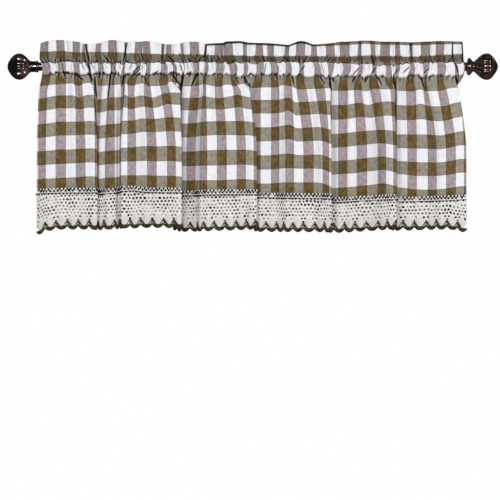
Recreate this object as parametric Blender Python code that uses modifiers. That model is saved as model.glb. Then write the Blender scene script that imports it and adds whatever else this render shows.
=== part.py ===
import math

import bmesh
import bpy
import numpy as np

# Window valance of gathered gingham on a curtain rod, with a lace band and a scalloped cord edging.
# Metres, +Z up, X along the rod, the front faces -Y, origin on the rod's axis at mid length.

MM = 0.001

# One check of the gingham is 20.3 mm wide; "col" below counts checks from the left selvedge.
FIRST_COL, LAST_COL = 0.8, 63.3
TEETH = 56                       # teeth of the lace, and gathers of the heading
PER_TOOTH = 3                    # stations along the cloth for each tooth
STATIONS = TEETH * PER_TOOTH + 1

CLOTH_THICK = 1.2 * MM
HEADING_THICK = 2.4 * MM         # two layers stitched together
HEADING_EDGE_THICK = 1.8 * MM
LACE_THICK = 1.2 * MM
PIECE_GAP = 0.4 * MM
SHARPEST_CORNER = 0.5            # cosine of half the sharpest corner that keeps its full thickness
LACE_OVERLAP = 9 * MM            # lace sewn over the foot of the gingham

# Heights along the cloth, from the rod's axis.
HEADING_TOP = 45.0 * MM
HEADING_MID = 26.0 * MM
UPPER_SEAM = 10.4 * MM
LOWER_SEAM = -15.4 * MM
SKIRT_START = -29.0 * MM
SKIRT_TOP = -46.0 * MM
SKIRT_HIGH = -92.0 * MM
SKIRT_MID = -155.0 * MM

# How far each height has opened from the gathers into the hanging folds, and how deep the gathers still are.
OPENING = {LOWER_SEAM: (0.0, 1.5 * MM), SKIRT_START: (0.27, 1.7 * MM), SKIRT_TOP: (0.62, 1.7 * MM),
           SKIRT_HIGH: (0.86, 1.1 * MM), SKIRT_MID: (1.0, 0.5 * MM)}
HEADING_RUFFLE = 3.0 * MM
GATHER_PITCH = 13 * MM           # width of a check where the gathers stand at full depth
GATHER_SHAPE = (-1.0, 1.0, 0.1)  # one gather over its stations, from a valley to a ridge and half way back

# How the gathers differ from one to the next: share of the depth, turn (radians) per gather, start (radians).
GATHER_MEAN = 0.85
GATHER_UNEVEN = ((0.25, 2.4, 0.0), (0.1, 5.3, 1.0))

# The heading's upper edge rises and falls by this much, in two waves (radians per station).
TOP_WANDER = 1.4 * MM
LONG_WAVE, SHORT_WAVE = 0.37, 1.3

# The rod pocket, as height and half depth: outside, then the tunnel in it.
POCKET_OUTSIDE = ((-8.5 * MM, 8.8 * MM), (1.0 * MM, 10.6 * MM), (7.6 * MM, 7.4 * MM))
POCKET_TUNNEL = ((-6.0 * MM, 8.2 * MM), (1.5 * MM, 9.0 * MM), (7.2 * MM, 5.6 * MM))
TUNNEL_FOOT, TUNNEL_TOP = -13.0 * MM, 8.6 * MM
POCKET_PUFF = 1.7 * MM

TOOTH_DROP = 9.0 * MM            # from the notch between two teeth to their tips
OPEN_SPACING = 6.0 * MM          # stations closer than this are in a fold, where the teeth lie flatter
LEAST_OPEN = 0.2                 # share of a tooth's drop that is left in the tightest fold
CORD_HALF_DEPTH = 2.0 * MM
CORD_HEIGHT = 5.4 * MM
CORD_CLEAR = 0.7 * MM            # below the teeth, measured straight down

ROD_RADIUS = 8.0 * MM
ROD_SIDES = 32
ROD_LEFT, ROD_RIGHT = -390.9 * MM, 390.6 * MM
FINIAL_GAP = 0.3 * MM
FINIAL_LOBES = 12
LOBE_VALLEY = 0.93               # radius between two lobes, as a share of the radius on them
SHARP_EDGE = math.radians(50)    # edges turning more than this stay sharp to the eye

# Gathers along the rod: col, x of the cloth at the rod (mm).
ROD_X = 2
ROD_LINE = (
    ("left edge",     0.8, -389.8), ("second panel",  9.0, -283.7), ("fold 2",     14.3, -228.5),
    ("fold 3",       21.0, -145.5), ("fourth panel", 29.0,  -66.8), ("fold 4",     33.0,  -15.5),
    ("fifth panel",  41.0,   86.0), ("fold 5",       45.0,  138.0), ("fold 6",     53.0,  245.0),
    ("last panels",  57.0,  289.0), ("right edge",   63.3,  386.5),
)

# Folds of the hanging cloth: col of the lip, cols hidden behind it, x of the lip at the skirt's top and
# middle, depth of the lip and of the trough behind it, how far the cloth turns back under the lip (mm), and
# on which side of the lip the trough is (1 right, -1 left).
FOLDS = (
    ("fold 1",  7.1, 2.7, -290.5, -284.2, 17,  -7,  9,  1),
    ("fold 2", 14.4, 1.5, -234.0, -240.8,  -1, -11,  2, -1),
    ("fold 3", 20.6, 3.9, -133.0, -129.6, 20, -16, 17,  1),
    ("fold 4", 33.4, 1.9,   -4.5,    8.0, 14,  -6,  6,  1),
    ("fold 5", 44.3, 2.4,  141.7,  144.2, 20, -16, 10,  1),
    ("fold 6", 53.3, 2.7,  261.2,  262.8, 16, -12, 10,  1),
)

# Just before a lip: cols, distance (mm) and how much further back the cloth lies there (mm).
RUN_COLS, RUN_OUT, RUN_BACK = 0.9, 11.0, 2.0

# From the lip round into the trough: share of the hidden cols, distance beyond the lip at the skirt's top
# (mm), the same at its middle as a share of the fold's turn back and a distance (mm), share of the way to
# the trough.
FOLD_PATH = (
    ("lip",          0.00, -2.8,  0.00, -3.0, 0.00), ("turn",   0.17, 0.0,  0.00, 0.0, 0.16),
    ("under lip",    0.48,  0.6, -1.00,  0.0, 0.48), ("return", 0.80, 1.4, -0.45, 0.0, 0.90),
    ("trough",       1.00,  3.4,  0.00,  2.4, 1.00),
)

# Panels between the folds: col, x at the skirt's top and middle, depth (mm). A knot of the hanging cloth is
# such a row without its name.
PANELS = (
    ("left edge",      0.8, -389.8, -395.5,  -2), ("left corner",   2.0, -373.3, -377.5,   4),
    ("first panel",    4.0, -341.3, -341.5,   8), ("second panel", 11.8, -254.5, -254.5,  -3),
    ("third panel",   17.0, -198.6, -193.1,   7), ("step",         26.0,  -98.0, -104.3, -11),
    ("rise",          27.2,  -88.6,  -95.4,   2), ("fourth panel", 30.0,  -54.0,  -46.7,   7),
    ("step",          38.0,   47.4,   48.4,  -2), ("rise",         39.2,   60.6,   63.2,   7),
    ("fifth panel",   42.0,   99.7,  111.6,  10), ("sixth panel",  50.0,  200.4,  209.7,  -7),
    ("seventh panel", 59.0,  312.9,  320.8,  -6), ("eighth panel", 61.0,  339.5,  354.5,   5),
    ("right edge",    63.3,  379.4,  392.4,  -1),
)
COL, X_TOP, X_MID, DEPTH = range(4)

# Foot of the valance: col, height of the lace's top edge, height of the edging's foot (mm).
LACE_TOP, EDGING_FOOT = 2, 3
HEM_LINE = (
    ("left edge",     0.8, -225, -310), ("left corner",   2.2, -224, -301),
    ("first panel",   4.0, -223, -298), ("lip 1",         7.1, -223, -298),
    ("under fold 1", 10.0, -227, -299), ("third panel",  17.0, -222, -295),
    ("lip 3",        20.6, -223, -296), ("under fold 3", 24.5, -228, -302),
    ("fourth panel", 30.0, -226, -300), ("lip 4",        33.4, -226, -298),
    ("under fold 4", 35.3, -231, -302), ("lip 5",        44.3, -234, -303),
    ("under fold 5", 46.6, -240, -304), ("sixth panel",  50.0, -237, -301),
    ("lip 6",        53.3, -235, -298), ("under fold 6", 56.1, -239, -300),
    ("eighth panel", 61.0, -237, -298), ("right edge",   63.3, -235, -304),
)

# One finial outwards from the cloth: distance along the rod, radius, and how deep its lobes are cut (0 to 1).
# The left one has a plain neck with a narrow ring, the right one a round collar, and the ball is the same.
LEFT_FOOT = (
    ("rod seat",  0.0,  8.7, 0.0), ("ring",      0.8, 11.2, 0.0), ("ring", 3.2, 11.2, 0.0),
    ("neck",      4.0, 10.2, 0.0), ("neck",     12.8, 10.2, 0.0),
)
RIGHT_FOOT = (
    ("rod seat",  0.0,  8.7, 0.0), ("collar",    1.0, 12.4, 0.0), ("collar rim", 2.8, 15.8, 0.0),
    ("collar rim", 7.8, 15.8, 0.0), ("collar",  10.6, 12.0, 0.0), ("waist",     12.8,  9.4, 0.0),
)
FINIAL_BALL = (
    ("waist",    15.2, 10.4, 0.4), ("shoulder", 22.2, 17.6, 1.0), ("shoulder", 29.2, 22.9, 1.0),
    ("ball",     36.6, 24.6, 1.0), ("ball",     44.0, 22.6, 1.0), ("crown",    51.0, 16.2, 1.0),
    ("crown",    56.0,  8.8, 0.8), ("button",   58.2,  4.0, 0.0),
)


def clear_scene():
    for obj in list(bpy.data.objects):
        bpy.data.objects.remove(obj, do_unlink=True)


def new_collection(name):
    coll = bpy.data.collections.new(name)
    bpy.context.scene.collection.children.link(coll)
    return coll


def make_material(name, srgb, roughness, metallic=0.0):
    mat = bpy.data.materials.new(name)
    mat.use_nodes = True
    shader = mat.node_tree.nodes["Principled BSDF"]
    linear = [((c / 255 + 0.055) / 1.055) ** 2.4 for c in srgb]
    shader.inputs["Base Color"].default_value = (*linear, 1)
    shader.inputs["Roughness"].default_value = roughness
    shader.inputs["Metallic"].default_value = metallic
    mat.diffuse_color = (*linear, 1)
    return mat


def station_cols():
    return np.linspace(FIRST_COL, LAST_COL, STATIONS)


def smooth_curve(knots, values, cols):
    """Cubic through the knots, read at the given cols."""
    slopes = np.gradient(values, knots)
    i = np.clip(np.searchsorted(knots, cols, side="right") - 1, 0, len(knots) - 2)
    span = knots[i + 1] - knots[i]
    t = (cols - knots[i]) / span
    return ((1 + 2 * t) * (1 - t) ** 2 * values[i] + t * (1 - t) ** 2 * span * slopes[i]
            + t * t * (3 - 2 * t) * values[i + 1] + t * t * (t - 1) * span * slopes[i + 1])


def table_curve(table, column, cols):
    """Cubic through one column of a table whose rows start with a name and a col."""
    knots = np.array([row[1] for row in table])
    values = np.array([row[column] for row in table]) * MM
    return smooth_curve(knots, values, cols)


def fold_knots(lip_col, hidden, x_top, x_mid, lip, trough, turn_back, side):
    """One fold as knots, from the cloth before its lip to the trough behind it."""
    knots = [(lip_col - side * RUN_COLS, x_top - side * RUN_OUT, x_mid - side * RUN_OUT, lip - RUN_BACK)]
    for _, share, out_top, turned, out_mid, back in FOLD_PATH:
        knots.append((lip_col + side * share * hidden, x_top + side * out_top,
                      x_mid + side * (turned * turn_back + out_mid), lip + (trough - lip) * back))
    return knots


def hanging_knots():
    """All knots of the hanging cloth in order of col: panels and folds together."""
    knots = [row[1:] for row in PANELS]
    for row in FOLDS:
        knots += fold_knots(*row[1:])
    return np.array(sorted(knots))


def hanging_curve(column, cols):
    knots = hanging_knots()
    return smooth_curve(knots[:, COL], knots[:, column] * MM, cols)


def gather_wave():
    """The gathers, -1 in a valley to 1 on a ridge, uneven from one to the next."""
    steps = np.arange(STATIONS)
    gather = steps // PER_TOOTH
    depth = GATHER_MEAN + sum(share * np.sin(turn * gather + start) for share, turn, start in GATHER_UNEVEN)
    return np.array(GATHER_SHAPE)[steps % PER_TOOTH] * depth


def rod_line(ruffle):
    """The gathered cloth seen from above at the heading and the pocket."""
    cols = station_cols()
    return np.column_stack((table_curve(ROD_LINE, ROD_X, cols), -ruffle * gather_wave()))


def opened(height):
    """Opening and gather depth at a height of the skirt, straight between the named heights."""
    levels = sorted(OPENING)
    share = np.interp(height, levels, [OPENING[z][0] for z in levels])
    ruffle = np.interp(height, levels, [OPENING[z][1] for z in levels])
    return share, ruffle


def skirt_line(heights):
    """The hanging cloth seen from above, at a height given for each station."""
    cols = station_cols()
    x_rod, x_top, x_mid = rod_line(0)[:, 0], hanging_curve(X_TOP, cols), hanging_curve(X_MID, cols)
    upper = np.clip((LOWER_SEAM - heights) / (LOWER_SEAM - SKIRT_TOP), 0, 1)
    lower = np.clip((SKIRT_TOP - heights) / (SKIRT_TOP - SKIRT_MID), 0, 1)
    x = x_rod + (x_top - x_rod) * upper + (x_mid - x_top) * lower
    share, ruffle = opened(heights)
    facing = np.clip(np.gradient(x, cols) / GATHER_PITCH, 0, 1) ** 2
    y = -share * hanging_curve(DEPTH, cols) - ruffle * facing * gather_wave()
    return np.column_stack((x, y))


def front_normals(line):
    """Unit normals of a line seen from above, towards the front, lengthened at corners."""
    steps = np.diff(line, axis=0)
    steps /= np.linalg.norm(steps, axis=1)[:, None]
    before = np.vstack((steps[:1], steps))
    after = np.vstack((steps, steps[-1:]))
    mean = before + after
    mean /= np.linalg.norm(mean, axis=1)[:, None]
    stretch = 1 / np.clip((mean * after).sum(axis=1), SHARPEST_CORNER, 1)
    return np.column_stack((mean[:, 1], -mean[:, 0])) * stretch[:, None]


def lift(line, offset, heights):
    """Points on a line moved towards the front by an offset, at the given heights."""
    placed = line + front_normals(line) * offset
    return np.column_stack((placed, np.broadcast_to(heights, len(line))))


def sewn_foot():
    """Heights of the lace's top edge, the gingham's foot and the edging's foot."""
    cols = station_cols()
    top = table_curve(HEM_LINE, LACE_TOP, cols)
    return top, top - LACE_OVERLAP, table_curve(HEM_LINE, EDGING_FOOT, cols)


def openness():
    """1 where the lace's foot hangs open, less where it is crowded into a fold."""
    line = skirt_line(sewn_foot()[2])
    spacing = np.linalg.norm(np.gradient(line, axis=0), axis=1)
    return np.clip(spacing / OPEN_SPACING, LEAST_OPEN, 1)


def tooth_heights():
    """The toothed lower edge of the lace: a notch, then two tip corners."""
    tips = sewn_foot()[2] + CORD_HEIGHT + CORD_CLEAR
    return np.where(np.arange(STATIONS) % PER_TOOTH == 0, tips + TOOTH_DROP * openness(), tips)


def finish_mesh(mesh, material):
    """Faces outwards, in triangles, smooth to the eye except at real edges."""
    bm = bmesh.new()
    bm.from_mesh(mesh)
    bmesh.ops.recalc_face_normals(bm, faces=bm.faces)
    bmesh.ops.triangulate(bm, faces=bm.faces, quad_method="FIXED")
    bm.to_mesh(mesh)
    bm.free()
    mesh.shade_smooth()
    mesh.set_sharp_from_angle(angle=SHARP_EDGE)
    mesh.materials.append(material)


def add_mesh(name, verts, faces, coll, material):
    mesh = bpy.data.meshes.new(name)
    mesh.from_pydata([tuple(v) for v in verts], [], faces)
    finish_mesh(mesh, material)
    obj = bpy.data.objects.new(name, mesh)
    coll.objects.link(obj)
    return obj


# The cloth, lace and edging are lofts: each station along the cloth has a section of its own, and the pieces
# lie on one another through the folds with an even gap.


def loop_faces(stations, ring, start=0):
    """Triangles joining each ring to the next station's, on the same slant on the front and the back."""
    faces = []
    for i in range(stations - 1):
        for j in range(ring):
            a, b = start + i * ring + j, start + i * ring + (j + 1) % ring
            on_front = j < ring // 2
            faces += [(a, b, b + ring), (a, b + ring, a + ring)] if on_front else \
                     [(a, b, a + ring), (b, b + ring, a + ring)]
    return faces


def pair_caps(ring, start):
    """Closes one end of a thin ring, whose second half runs back along its first."""
    return [(start + j, start + j + 1, start + ring - 2 - j, start + ring - 1 - j)
            for j in range(ring // 2 - 1)]


def strip_solid(name, layers, coll, material):
    """A thin solid from its front layers, bottom to top, and its back layers, top to bottom."""
    rings = np.stack(layers, axis=1)
    stations, ring = rings.shape[:2]
    faces = loop_faces(stations, ring)
    faces += pair_caps(ring, 0) + pair_caps(ring, (stations - 1) * ring)
    return add_mesh(name, rings.reshape(-1, 3), faces, coll, material)


def gingham_outside():
    """The outer surface of the gingham: front from the foot to the heading's edge, then the back down."""
    foot = sewn_foot()[1]
    half = CLOTH_THICK / 2
    skirt = [(foot, half), (np.full(STATIONS, SKIRT_MID), half), (np.full(STATIONS, SKIRT_HIGH), half),
             (np.full(STATIONS, SKIRT_TOP), half), (np.full(STATIONS, SKIRT_START), half),
             (np.full(STATIONS, LOWER_SEAM), HEADING_THICK / 2)]
    wave = gather_wave()
    seam_ruffle = OPENING[LOWER_SEAM][1]
    steps = np.arange(STATIONS)
    edge = HEADING_TOP + TOP_WANDER * np.sin(steps * LONG_WAVE) * np.cos(steps * SHORT_WAVE)
    heading = [(UPPER_SEAM, HEADING_THICK / 2, seam_ruffle), (HEADING_MID, HEADING_THICK / 2, HEADING_RUFFLE),
               (edge, HEADING_EDGE_THICK / 2, HEADING_RUFFLE)]
    front, back = [], []
    for heights, thick in skirt:
        line = skirt_line(heights)
        front.append(lift(line, thick, heights))
        back.append(lift(line, -thick, heights))
    seam_x = rod_line(0)[:, 0]
    for height, depth in POCKET_OUTSIDE:
        bulge = depth + POCKET_PUFF * (wave + 1) / 2
        level = np.full(STATIONS, height)
        front.append(np.column_stack((seam_x, -bulge, level)))
        back.append(np.column_stack((seam_x, bulge, level)))
    for height, thick, ruffle in heading:
        line = rod_line(ruffle)
        front.append(lift(line, thick, height))
        back.append(lift(line, -thick, height))
    return front + back[::-1]


def gingham_tunnel():
    """The inside of the rod pocket, from its foot up the front and down the back."""
    wave = gather_wave()
    seam = rod_line(OPENING[LOWER_SEAM][1] / 2)
    foot = np.column_stack((seam, np.full(STATIONS, TUNNEL_FOOT)))
    top = np.column_stack((seam, np.full(STATIONS, TUNNEL_TOP)))
    front, back = [], []
    for height, depth in POCKET_TUNNEL:
        bulge = depth + POCKET_PUFF * (wave + 1) / 2
        level = np.full(STATIONS, height)
        front.append(np.column_stack((seam[:, 0], -bulge, level)))
        back.append(np.column_stack((seam[:, 0], bulge, level)))
    return [foot] + front + [top] + back[::-1]


def tunnel_caps(outer, inner, outer_ring, inner_ring, seam_at):
    """Closes one end of the gingham: thin skirt and heading, and the ring of cloth round the tunnel."""
    pocket = inner_ring // 2
    faces = []
    for j in range(outer_ring // 2 - 1):
        if seam_at <= j < seam_at + pocket:
            continue
        faces.append((outer + j, outer + j + 1, outer + outer_ring - 2 - j, outer + outer_ring - 1 - j))
    for j in range(pocket):
        a, b = outer + seam_at + j, inner + j
        faces.append((a, a + 1, b + 1, b))
        a = outer + outer_ring - 1 - seam_at - j
        b, c = inner + (inner_ring - j) % inner_ring, inner + inner_ring - j - 1
        faces.append((a, a - 1, c, b))
    for j in (0, pocket):
        faces.append((outer + seam_at + j, inner + j, outer + outer_ring - 1 - seam_at - j))
    return faces


def build_gingham(coll, material):
    outside = np.stack(gingham_outside(), axis=1)
    tunnel = np.stack(gingham_tunnel(), axis=1)
    outer_ring, inner_ring = outside.shape[1], tunnel.shape[1]
    seam_at = len(OPENING)       # the lower seam's layer, above the foot and the other heights of the skirt
    start = STATIONS * outer_ring
    faces = loop_faces(STATIONS, outer_ring) + loop_faces(STATIONS, inner_ring, start)
    for i in (0, STATIONS - 1):
        faces += tunnel_caps(i * outer_ring, start + i * inner_ring, outer_ring, inner_ring, seam_at)
    verts = np.vstack((outside.reshape(-1, 3), tunnel.reshape(-1, 3)))
    return add_mesh("gingham_cloth", verts, faces, coll, material)


def lace_offset():
    return CLOTH_THICK / 2 + PIECE_GAP + LACE_THICK / 2


def build_lace(coll, material):
    front, back = [], []
    for heights in (tooth_heights(), sewn_foot()[0]):
        line = skirt_line(heights)
        front.append(lift(line, lace_offset() + LACE_THICK / 2, heights))
        back.append(lift(line, lace_offset() - LACE_THICK / 2, heights))
    return strip_solid("lace_band", front + back[::-1], coll, material)


def build_edging(coll, material):
    """Scalloped cord under the teeth, four-sided."""
    upper = tooth_heights() - CORD_CLEAR
    line = skirt_line(upper)
    middle = lace_offset()
    bulge = (CORD_HALF_DEPTH * openness())[:, None]
    ring = [lift(line, middle, upper - CORD_HEIGHT),
            lift(line, middle + bulge, upper - CORD_HEIGHT / 2),
            lift(line, middle, upper),
            lift(line, middle - bulge, upper - CORD_HEIGHT / 2)]
    rings = np.stack(ring, axis=1)
    sides = len(ring)
    faces = loop_faces(STATIONS, sides)
    last = (STATIONS - 1) * sides
    faces += [tuple(range(sides)), tuple(range(last, last + sides))]
    return add_mesh("edging", rings.reshape(-1, 3), faces, coll, material)


def build_rod(coll, material):
    bpy.ops.mesh.primitive_cylinder_add(vertices=ROD_SIDES, radius=ROD_RADIUS, depth=ROD_RIGHT - ROD_LEFT,
                                        location=((ROD_LEFT + ROD_RIGHT) / 2, 0, 0),
                                        rotation=(0, math.pi / 2, 0))
    rod = bpy.context.object
    rod.name = "rod"
    for other in list(rod.users_collection):
        other.objects.unlink(rod)
    coll.objects.link(rod)
    finish_mesh(rod.data, material)
    return rod


def turned_mesh(name, profile, sides):
    """A closed mesh turned about X from a profile of distances along X and radii."""
    points = [(profile[0][0], 0)] + profile + [(profile[-1][0], 0)]
    outline = bpy.data.meshes.new(name + "_outline")
    outline.from_pydata([(x, 0, radius) for x, radius in points],
                        [(i, i + 1) for i in range(len(points) - 1)], [])
    obj = bpy.data.objects.new(name + "_outline", outline)
    bpy.context.scene.collection.objects.link(obj)
    screw = obj.modifiers.new("turn", "SCREW")
    screw.axis = "X"
    screw.steps = screw.render_steps = sides
    screw.use_merge_vertices = True
    screw.merge_threshold = 0.01 * MM
    depsgraph = bpy.context.evaluated_depsgraph_get()
    mesh = bpy.data.meshes.new_from_object(obj.evaluated_get(depsgraph))
    mesh.name = name
    bpy.data.objects.remove(obj, do_unlink=True)
    return mesh


def build_finial(name, foot, start, side, in_front, coll, material):
    """A finial's foot, waist and lobed ball, with a lobe (0) or a groove (1) facing the room."""
    sides = FINIAL_LOBES * 2
    rows = foot + FINIAL_BALL
    along = np.array([row[1] for row in rows]) * MM
    lobed = np.array([row[3] for row in rows])
    profile = [(side * row[1] * MM, row[2] * MM) for row in rows]
    mesh = turned_mesh(name, profile, sides)
    for vert in mesh.vertices:   # every other line of the turned form is pressed in, between two lobes
        line = round(math.atan2(vert.co.y, vert.co.z) / (2 * math.pi / sides))
        grooved = (line + in_front) % 2
        pressed = (1 - LOBE_VALLEY) * np.interp(side * vert.co.x, along, lobed) * grooved
        vert.co.y *= 1 - pressed
        vert.co.z *= 1 - pressed
    finish_mesh(mesh, material)
    finial = bpy.data.objects.new(name, mesh)
    finial.location.x = start
    coll.objects.link(finial)
    return finial


def main():
    clear_scene()
    coll = new_collection("window_valance")
    gingham = make_material("brown_white_gingham", (157, 143, 124), 0.9)
    lace = make_material("cream_cotton_lace", (229, 226, 219), 0.9)
    cord = make_material("dark_olive_chain_cord", (62, 54, 34), 0.85)
    bronze = make_material("dark_bronze_lacquer", (46, 26, 20), 0.3, 0.4)
    build_gingham(coll, gingham)
    build_lace(coll, lace)
    build_edging(coll, cord)
    build_rod(coll, bronze)
    build_finial("finial_left", LEFT_FOOT, ROD_LEFT - FINIAL_GAP, -1, 1, coll, bronze)
    build_finial("finial_right", RIGHT_FOOT, ROD_RIGHT + FINIAL_GAP, 1, 0, coll, bronze)


main()
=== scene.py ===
import math

import bmesh
import bpy
import numpy as np
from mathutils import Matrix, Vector


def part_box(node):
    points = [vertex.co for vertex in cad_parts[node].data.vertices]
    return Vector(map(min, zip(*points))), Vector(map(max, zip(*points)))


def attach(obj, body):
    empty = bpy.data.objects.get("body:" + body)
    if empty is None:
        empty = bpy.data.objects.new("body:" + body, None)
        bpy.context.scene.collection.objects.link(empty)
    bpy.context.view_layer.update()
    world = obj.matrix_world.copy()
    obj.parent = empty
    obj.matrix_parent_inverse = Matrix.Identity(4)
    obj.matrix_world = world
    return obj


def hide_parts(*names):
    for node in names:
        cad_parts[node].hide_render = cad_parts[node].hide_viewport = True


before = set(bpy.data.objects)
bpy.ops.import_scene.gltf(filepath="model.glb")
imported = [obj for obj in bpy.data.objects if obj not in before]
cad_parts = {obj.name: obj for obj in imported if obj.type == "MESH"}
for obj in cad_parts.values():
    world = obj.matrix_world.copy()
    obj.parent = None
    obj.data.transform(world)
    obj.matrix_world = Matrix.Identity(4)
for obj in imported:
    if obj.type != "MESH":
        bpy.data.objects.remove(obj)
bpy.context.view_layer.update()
mm = 0.001

# Gingham valance on a rod. "col" counts the checks across from the left selvedge (odd ones are brown),
# "row" counts them down from the fold of the heading (odd ones are brown).

cloth = {
    "firstCol": 0.8,        # left side hem
    "lastCol": 66.0,        # right side hem, turned back behind the skirt
    "laceEnd": 63.3,        # the lace ends where that hem turns back
    "hemShare": {"heading": 0.3, "pocket": 0.3, "skirtStart": 0.5},     # how much of the left hem shows
    "stations": 960,        # points across
    "fullCheck": 13.0,      # mm, cloth whose checks look this wide faces the room
    "checkHigh": 25.4,      # mm
    "headingRows": 16,      # lines of points down each stretch
    "pocketRows": 20,
    "skirtRows": 46,
    "backRows": 7,
    "layerGap": 1.8,        # mm between the two layers of the heading
    "atSeam": 1.2,          # mm that each layer lies before or behind the rod's axis at the seams
    "seamAbove": 10.0,      # mm, height of the upper gather seam, just over the rod
    "seamBelow": -9.8,      # mm, the lower one comes no nearer to the rod than this
    "pocketDeep": 10.8,     # mm from the rod's axis to the front of the pocket
    "pocketRound": 0.45,    # 1 is a round pocket, less is a flatter one that turns in sharply at its seams
    "rodClear": 8.8,        # mm from the rod's axis, the nearest that the pocket's front comes
    "headingLean": 1.9,
    "headingWave": 2.7,     # mm, how far the heading waves to and fro
    "gatherCols": 1.116,    # checks taken up by one gather
    "shoulder": 2.0,        # mm that the skirt stands out below its seam
    "shoulderSpan": (10, 50, 40),       # mm below the seam, as in hump
    "sinkSpan": (8, 70, 55),            # where narrow checks sink in, the same way
    "behindLace": 12.0,     # mm that the gingham reaches down behind the lace
    "pullLimit": 2.6,       # mm, the deepest that a pull goes in
    "footDouble": 1.0,      # how strongly the second layer's brown row shows through the ruffle's foot, with painted shade there
    "footBulge": 0.75,      # the gathers take up the white checks there, and the brown ones bulge
}

# Left and right edge of each brown check across (mm from mid rod) at five heights. None is hidden in a fold.
levels = ("heading", "pocket", "skirtStart", "skirtTop", "middle")
levelHeights = {"heading": 18.0, "pocket": -2.6, "skirtStart": -26.4, "skirtTop": -46.5, "middle": -152.6}
checkEdges = (
    ( 1, -389, -374,  -383, -369,  -386, -371,  -389, -376,  -392, -378),
    ( 3, -358, -343,  -356, -341,  -360, -341,  -360, -341,  -360, -341),
    ( 5, -329, -316,  -327, -316,  -326, -312,  -324, -310,  -323, -305),
    ( 7, -312, -303,  -302, -296,  -296, -294,  None, None,  -288, None),
    ( 9, -288, -278,  -282, -272,  -289, -274,  -288, -276,  None, None),
    (11, -264, -248,  -259, -250,  -262, -253,  -264, -253,  -270, -252),
    (13, -233, -231,  -238, -233,  -242, -234,  -241, None,  -244, None),
    (15, -216, -202,  -213, -206,  -229, -213,  -228, -216,  -229, -213),
    (17, -200, -186,  -194, -186,  -199, -188,  -199, -185,  -193, -175),
    (19, -167, -163,  -167, -155,  -171, -155,  -167, -151,  -156, -140),
    (21, -158, -148,  -145, -138,  -147, -138,  None, None,  None, None),
    (23, -131, -125,  -125, -124,  -131, -128,  None, None,  None, None),
    (25, -114,  -97,  -108,  -97,  -111,  -98,  -114,  -97,  -121, -104),
    (27,  -86,  -84,   -88,  -80,   -91,  -85,   -91,  -85,   -97,  -83),
    (29,  -70,  -54,   -67,  -52,   -69,  -55,   -69,  -54,   -65,  -47),
    (31,  -52,  -35,   -42,  -27,   -39,  -30,   -35,  -21,   -29,  -12),
    (33,  -17,  -11,   -16,   -8,   -16,  -12,  None, None,     2, None),
    (35,    5,   20,     8,   21,     2,   18,    -3,   15,  None,   15),
    (37,   28,   39,    34,   48,    34,   47,    34,   49,    34,   49),
    (39,   58,   66,    61,   72,    58,   71,    58,   73,    60,   76),
    (41,   79,   96,    86,   94,    80,   95,    81,  100,    93,  112),
    (43,  107,  118,   113,  125,   112,  128,   115,  133,   128,  140),
    (45,  135,  151,   138,  149,   140,  143,  None, None,  None, None),
    (47,  160,  177,   166,  180,   159,  173,   157,  174,   157,  174),
    (49,  192,  199,   194,  202,   187,  199,   186,  200,   191,  210),
    (51,  217,  225,   219,  226,   213,  229,   216,  234,   229,  244),
    (53,  233,  251,   244,  254,   243,  256,   252,  262,   257, None),
    (55,  261,  271,   261,  270,   257,  264,  None, None,  None, None),
    (57,  288,  293,   288,  297,   280,  295,   281,  299,   284,  301),
    (59,  308,  325,   312,  323,   312,  319,   313,  321,   321,  337),
    (61,  335,  350,   338,  354,   338,  350,   339,  356,   354,  372),
    (63,  365,  367,   370,  376,   371,  378,  None, None,   387, None),
    (65,  383,  386,   387,  389,   380,  381,  None, None,  None, None),
)

# Folds of the skirt. At its top and at its middle: col at the fold's edge, col where the cloth shows again,
# x of the edge (mm). Then how far forward the edge and the trough behind it lie, and how far the cloth turns
# back under the edge (mm).
folds = (
    {"top": (7.00, 9.00, -290.0),   "middle": (7.27, 9.90, -283.5),   "edge": 17, "trough": -7,  "under": 9},
    {"top": (14.35, 13.45, -234.5), "middle": (14.35, 13.20, -241.0), "edge": 1,  "trough": -11, "under": 2},
    {"top": (21.00, 24.00, -131.8), "middle": (20.65, 24.55, -129.0), "edge": 20, "trough": -16, "under": 16},
    {"top": (33.00, 34.85, -4.2),   "middle": (33.35, 35.60, 8.2),    "edge": 14, "trough": -6,  "under": 6},
    {"top": (44.65, 46.15, 143.1),  "middle": (44.30, 46.35, 144.4),  "edge": 20, "trough": -16, "under": 10},
    {"top": (54.05, 56.00, 262.4),  "middle": (53.35, 56.00, 263.0),  "edge": 16, "trough": -12, "under": 10},
)
# From the edge to where the cloth shows again: share of the cols, of "under", and of the way to the trough.
foldPath = ((0.0, 0.0, 0.12), (0.36, -1.0, 0.50), (0.74, -0.45, 0.90), (1.0, 0.0, 1.0))
foldRound = ((1.3, 2.5), (0.45, 0.0))   # before the edge: cols, and mm that the cloth lies behind it
foldNear = {"step": 1.6, "after": 0.35, "clear": (0.9, 0.5)}    # mm past the edge, cols, no panel this near
# The right side hem turns back behind the skirt: col and x (mm) of its edge. Then the cols to its back, and
# how far its back and the selvedge lie inside the edge (mm).
sideReturn = {"skirtTop": (63.0, 379.0), "middle": (63.3, 391.5)}
sideTurn = {"cols": 0.9, "back": 9, "end": 24}

# How far forward the panels lie between the folds: col, mm.
panels = ((0.8, -2), (2.0, 4), (4.0, 8), (11.8, -3), (17.0, 7), (26.0, -11), (27.2, 2), (30.0, 7), (38.0, -2),
          (39.2, 7), (42.0, 10), (50.0, -7), (59.0, -6), (61.0, 5), (63.3, -1), (66.0, -6))

# Share of the folds' depth, and depth of the gathers (mm), by height (mm).
opening = ((-15, 0.0, 1.5), (-29, 0.27, 1.9), (-46, 0.62, 1.8), (-92, 0.86, 0.9), (-155, 1.0, 0.45))

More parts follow.
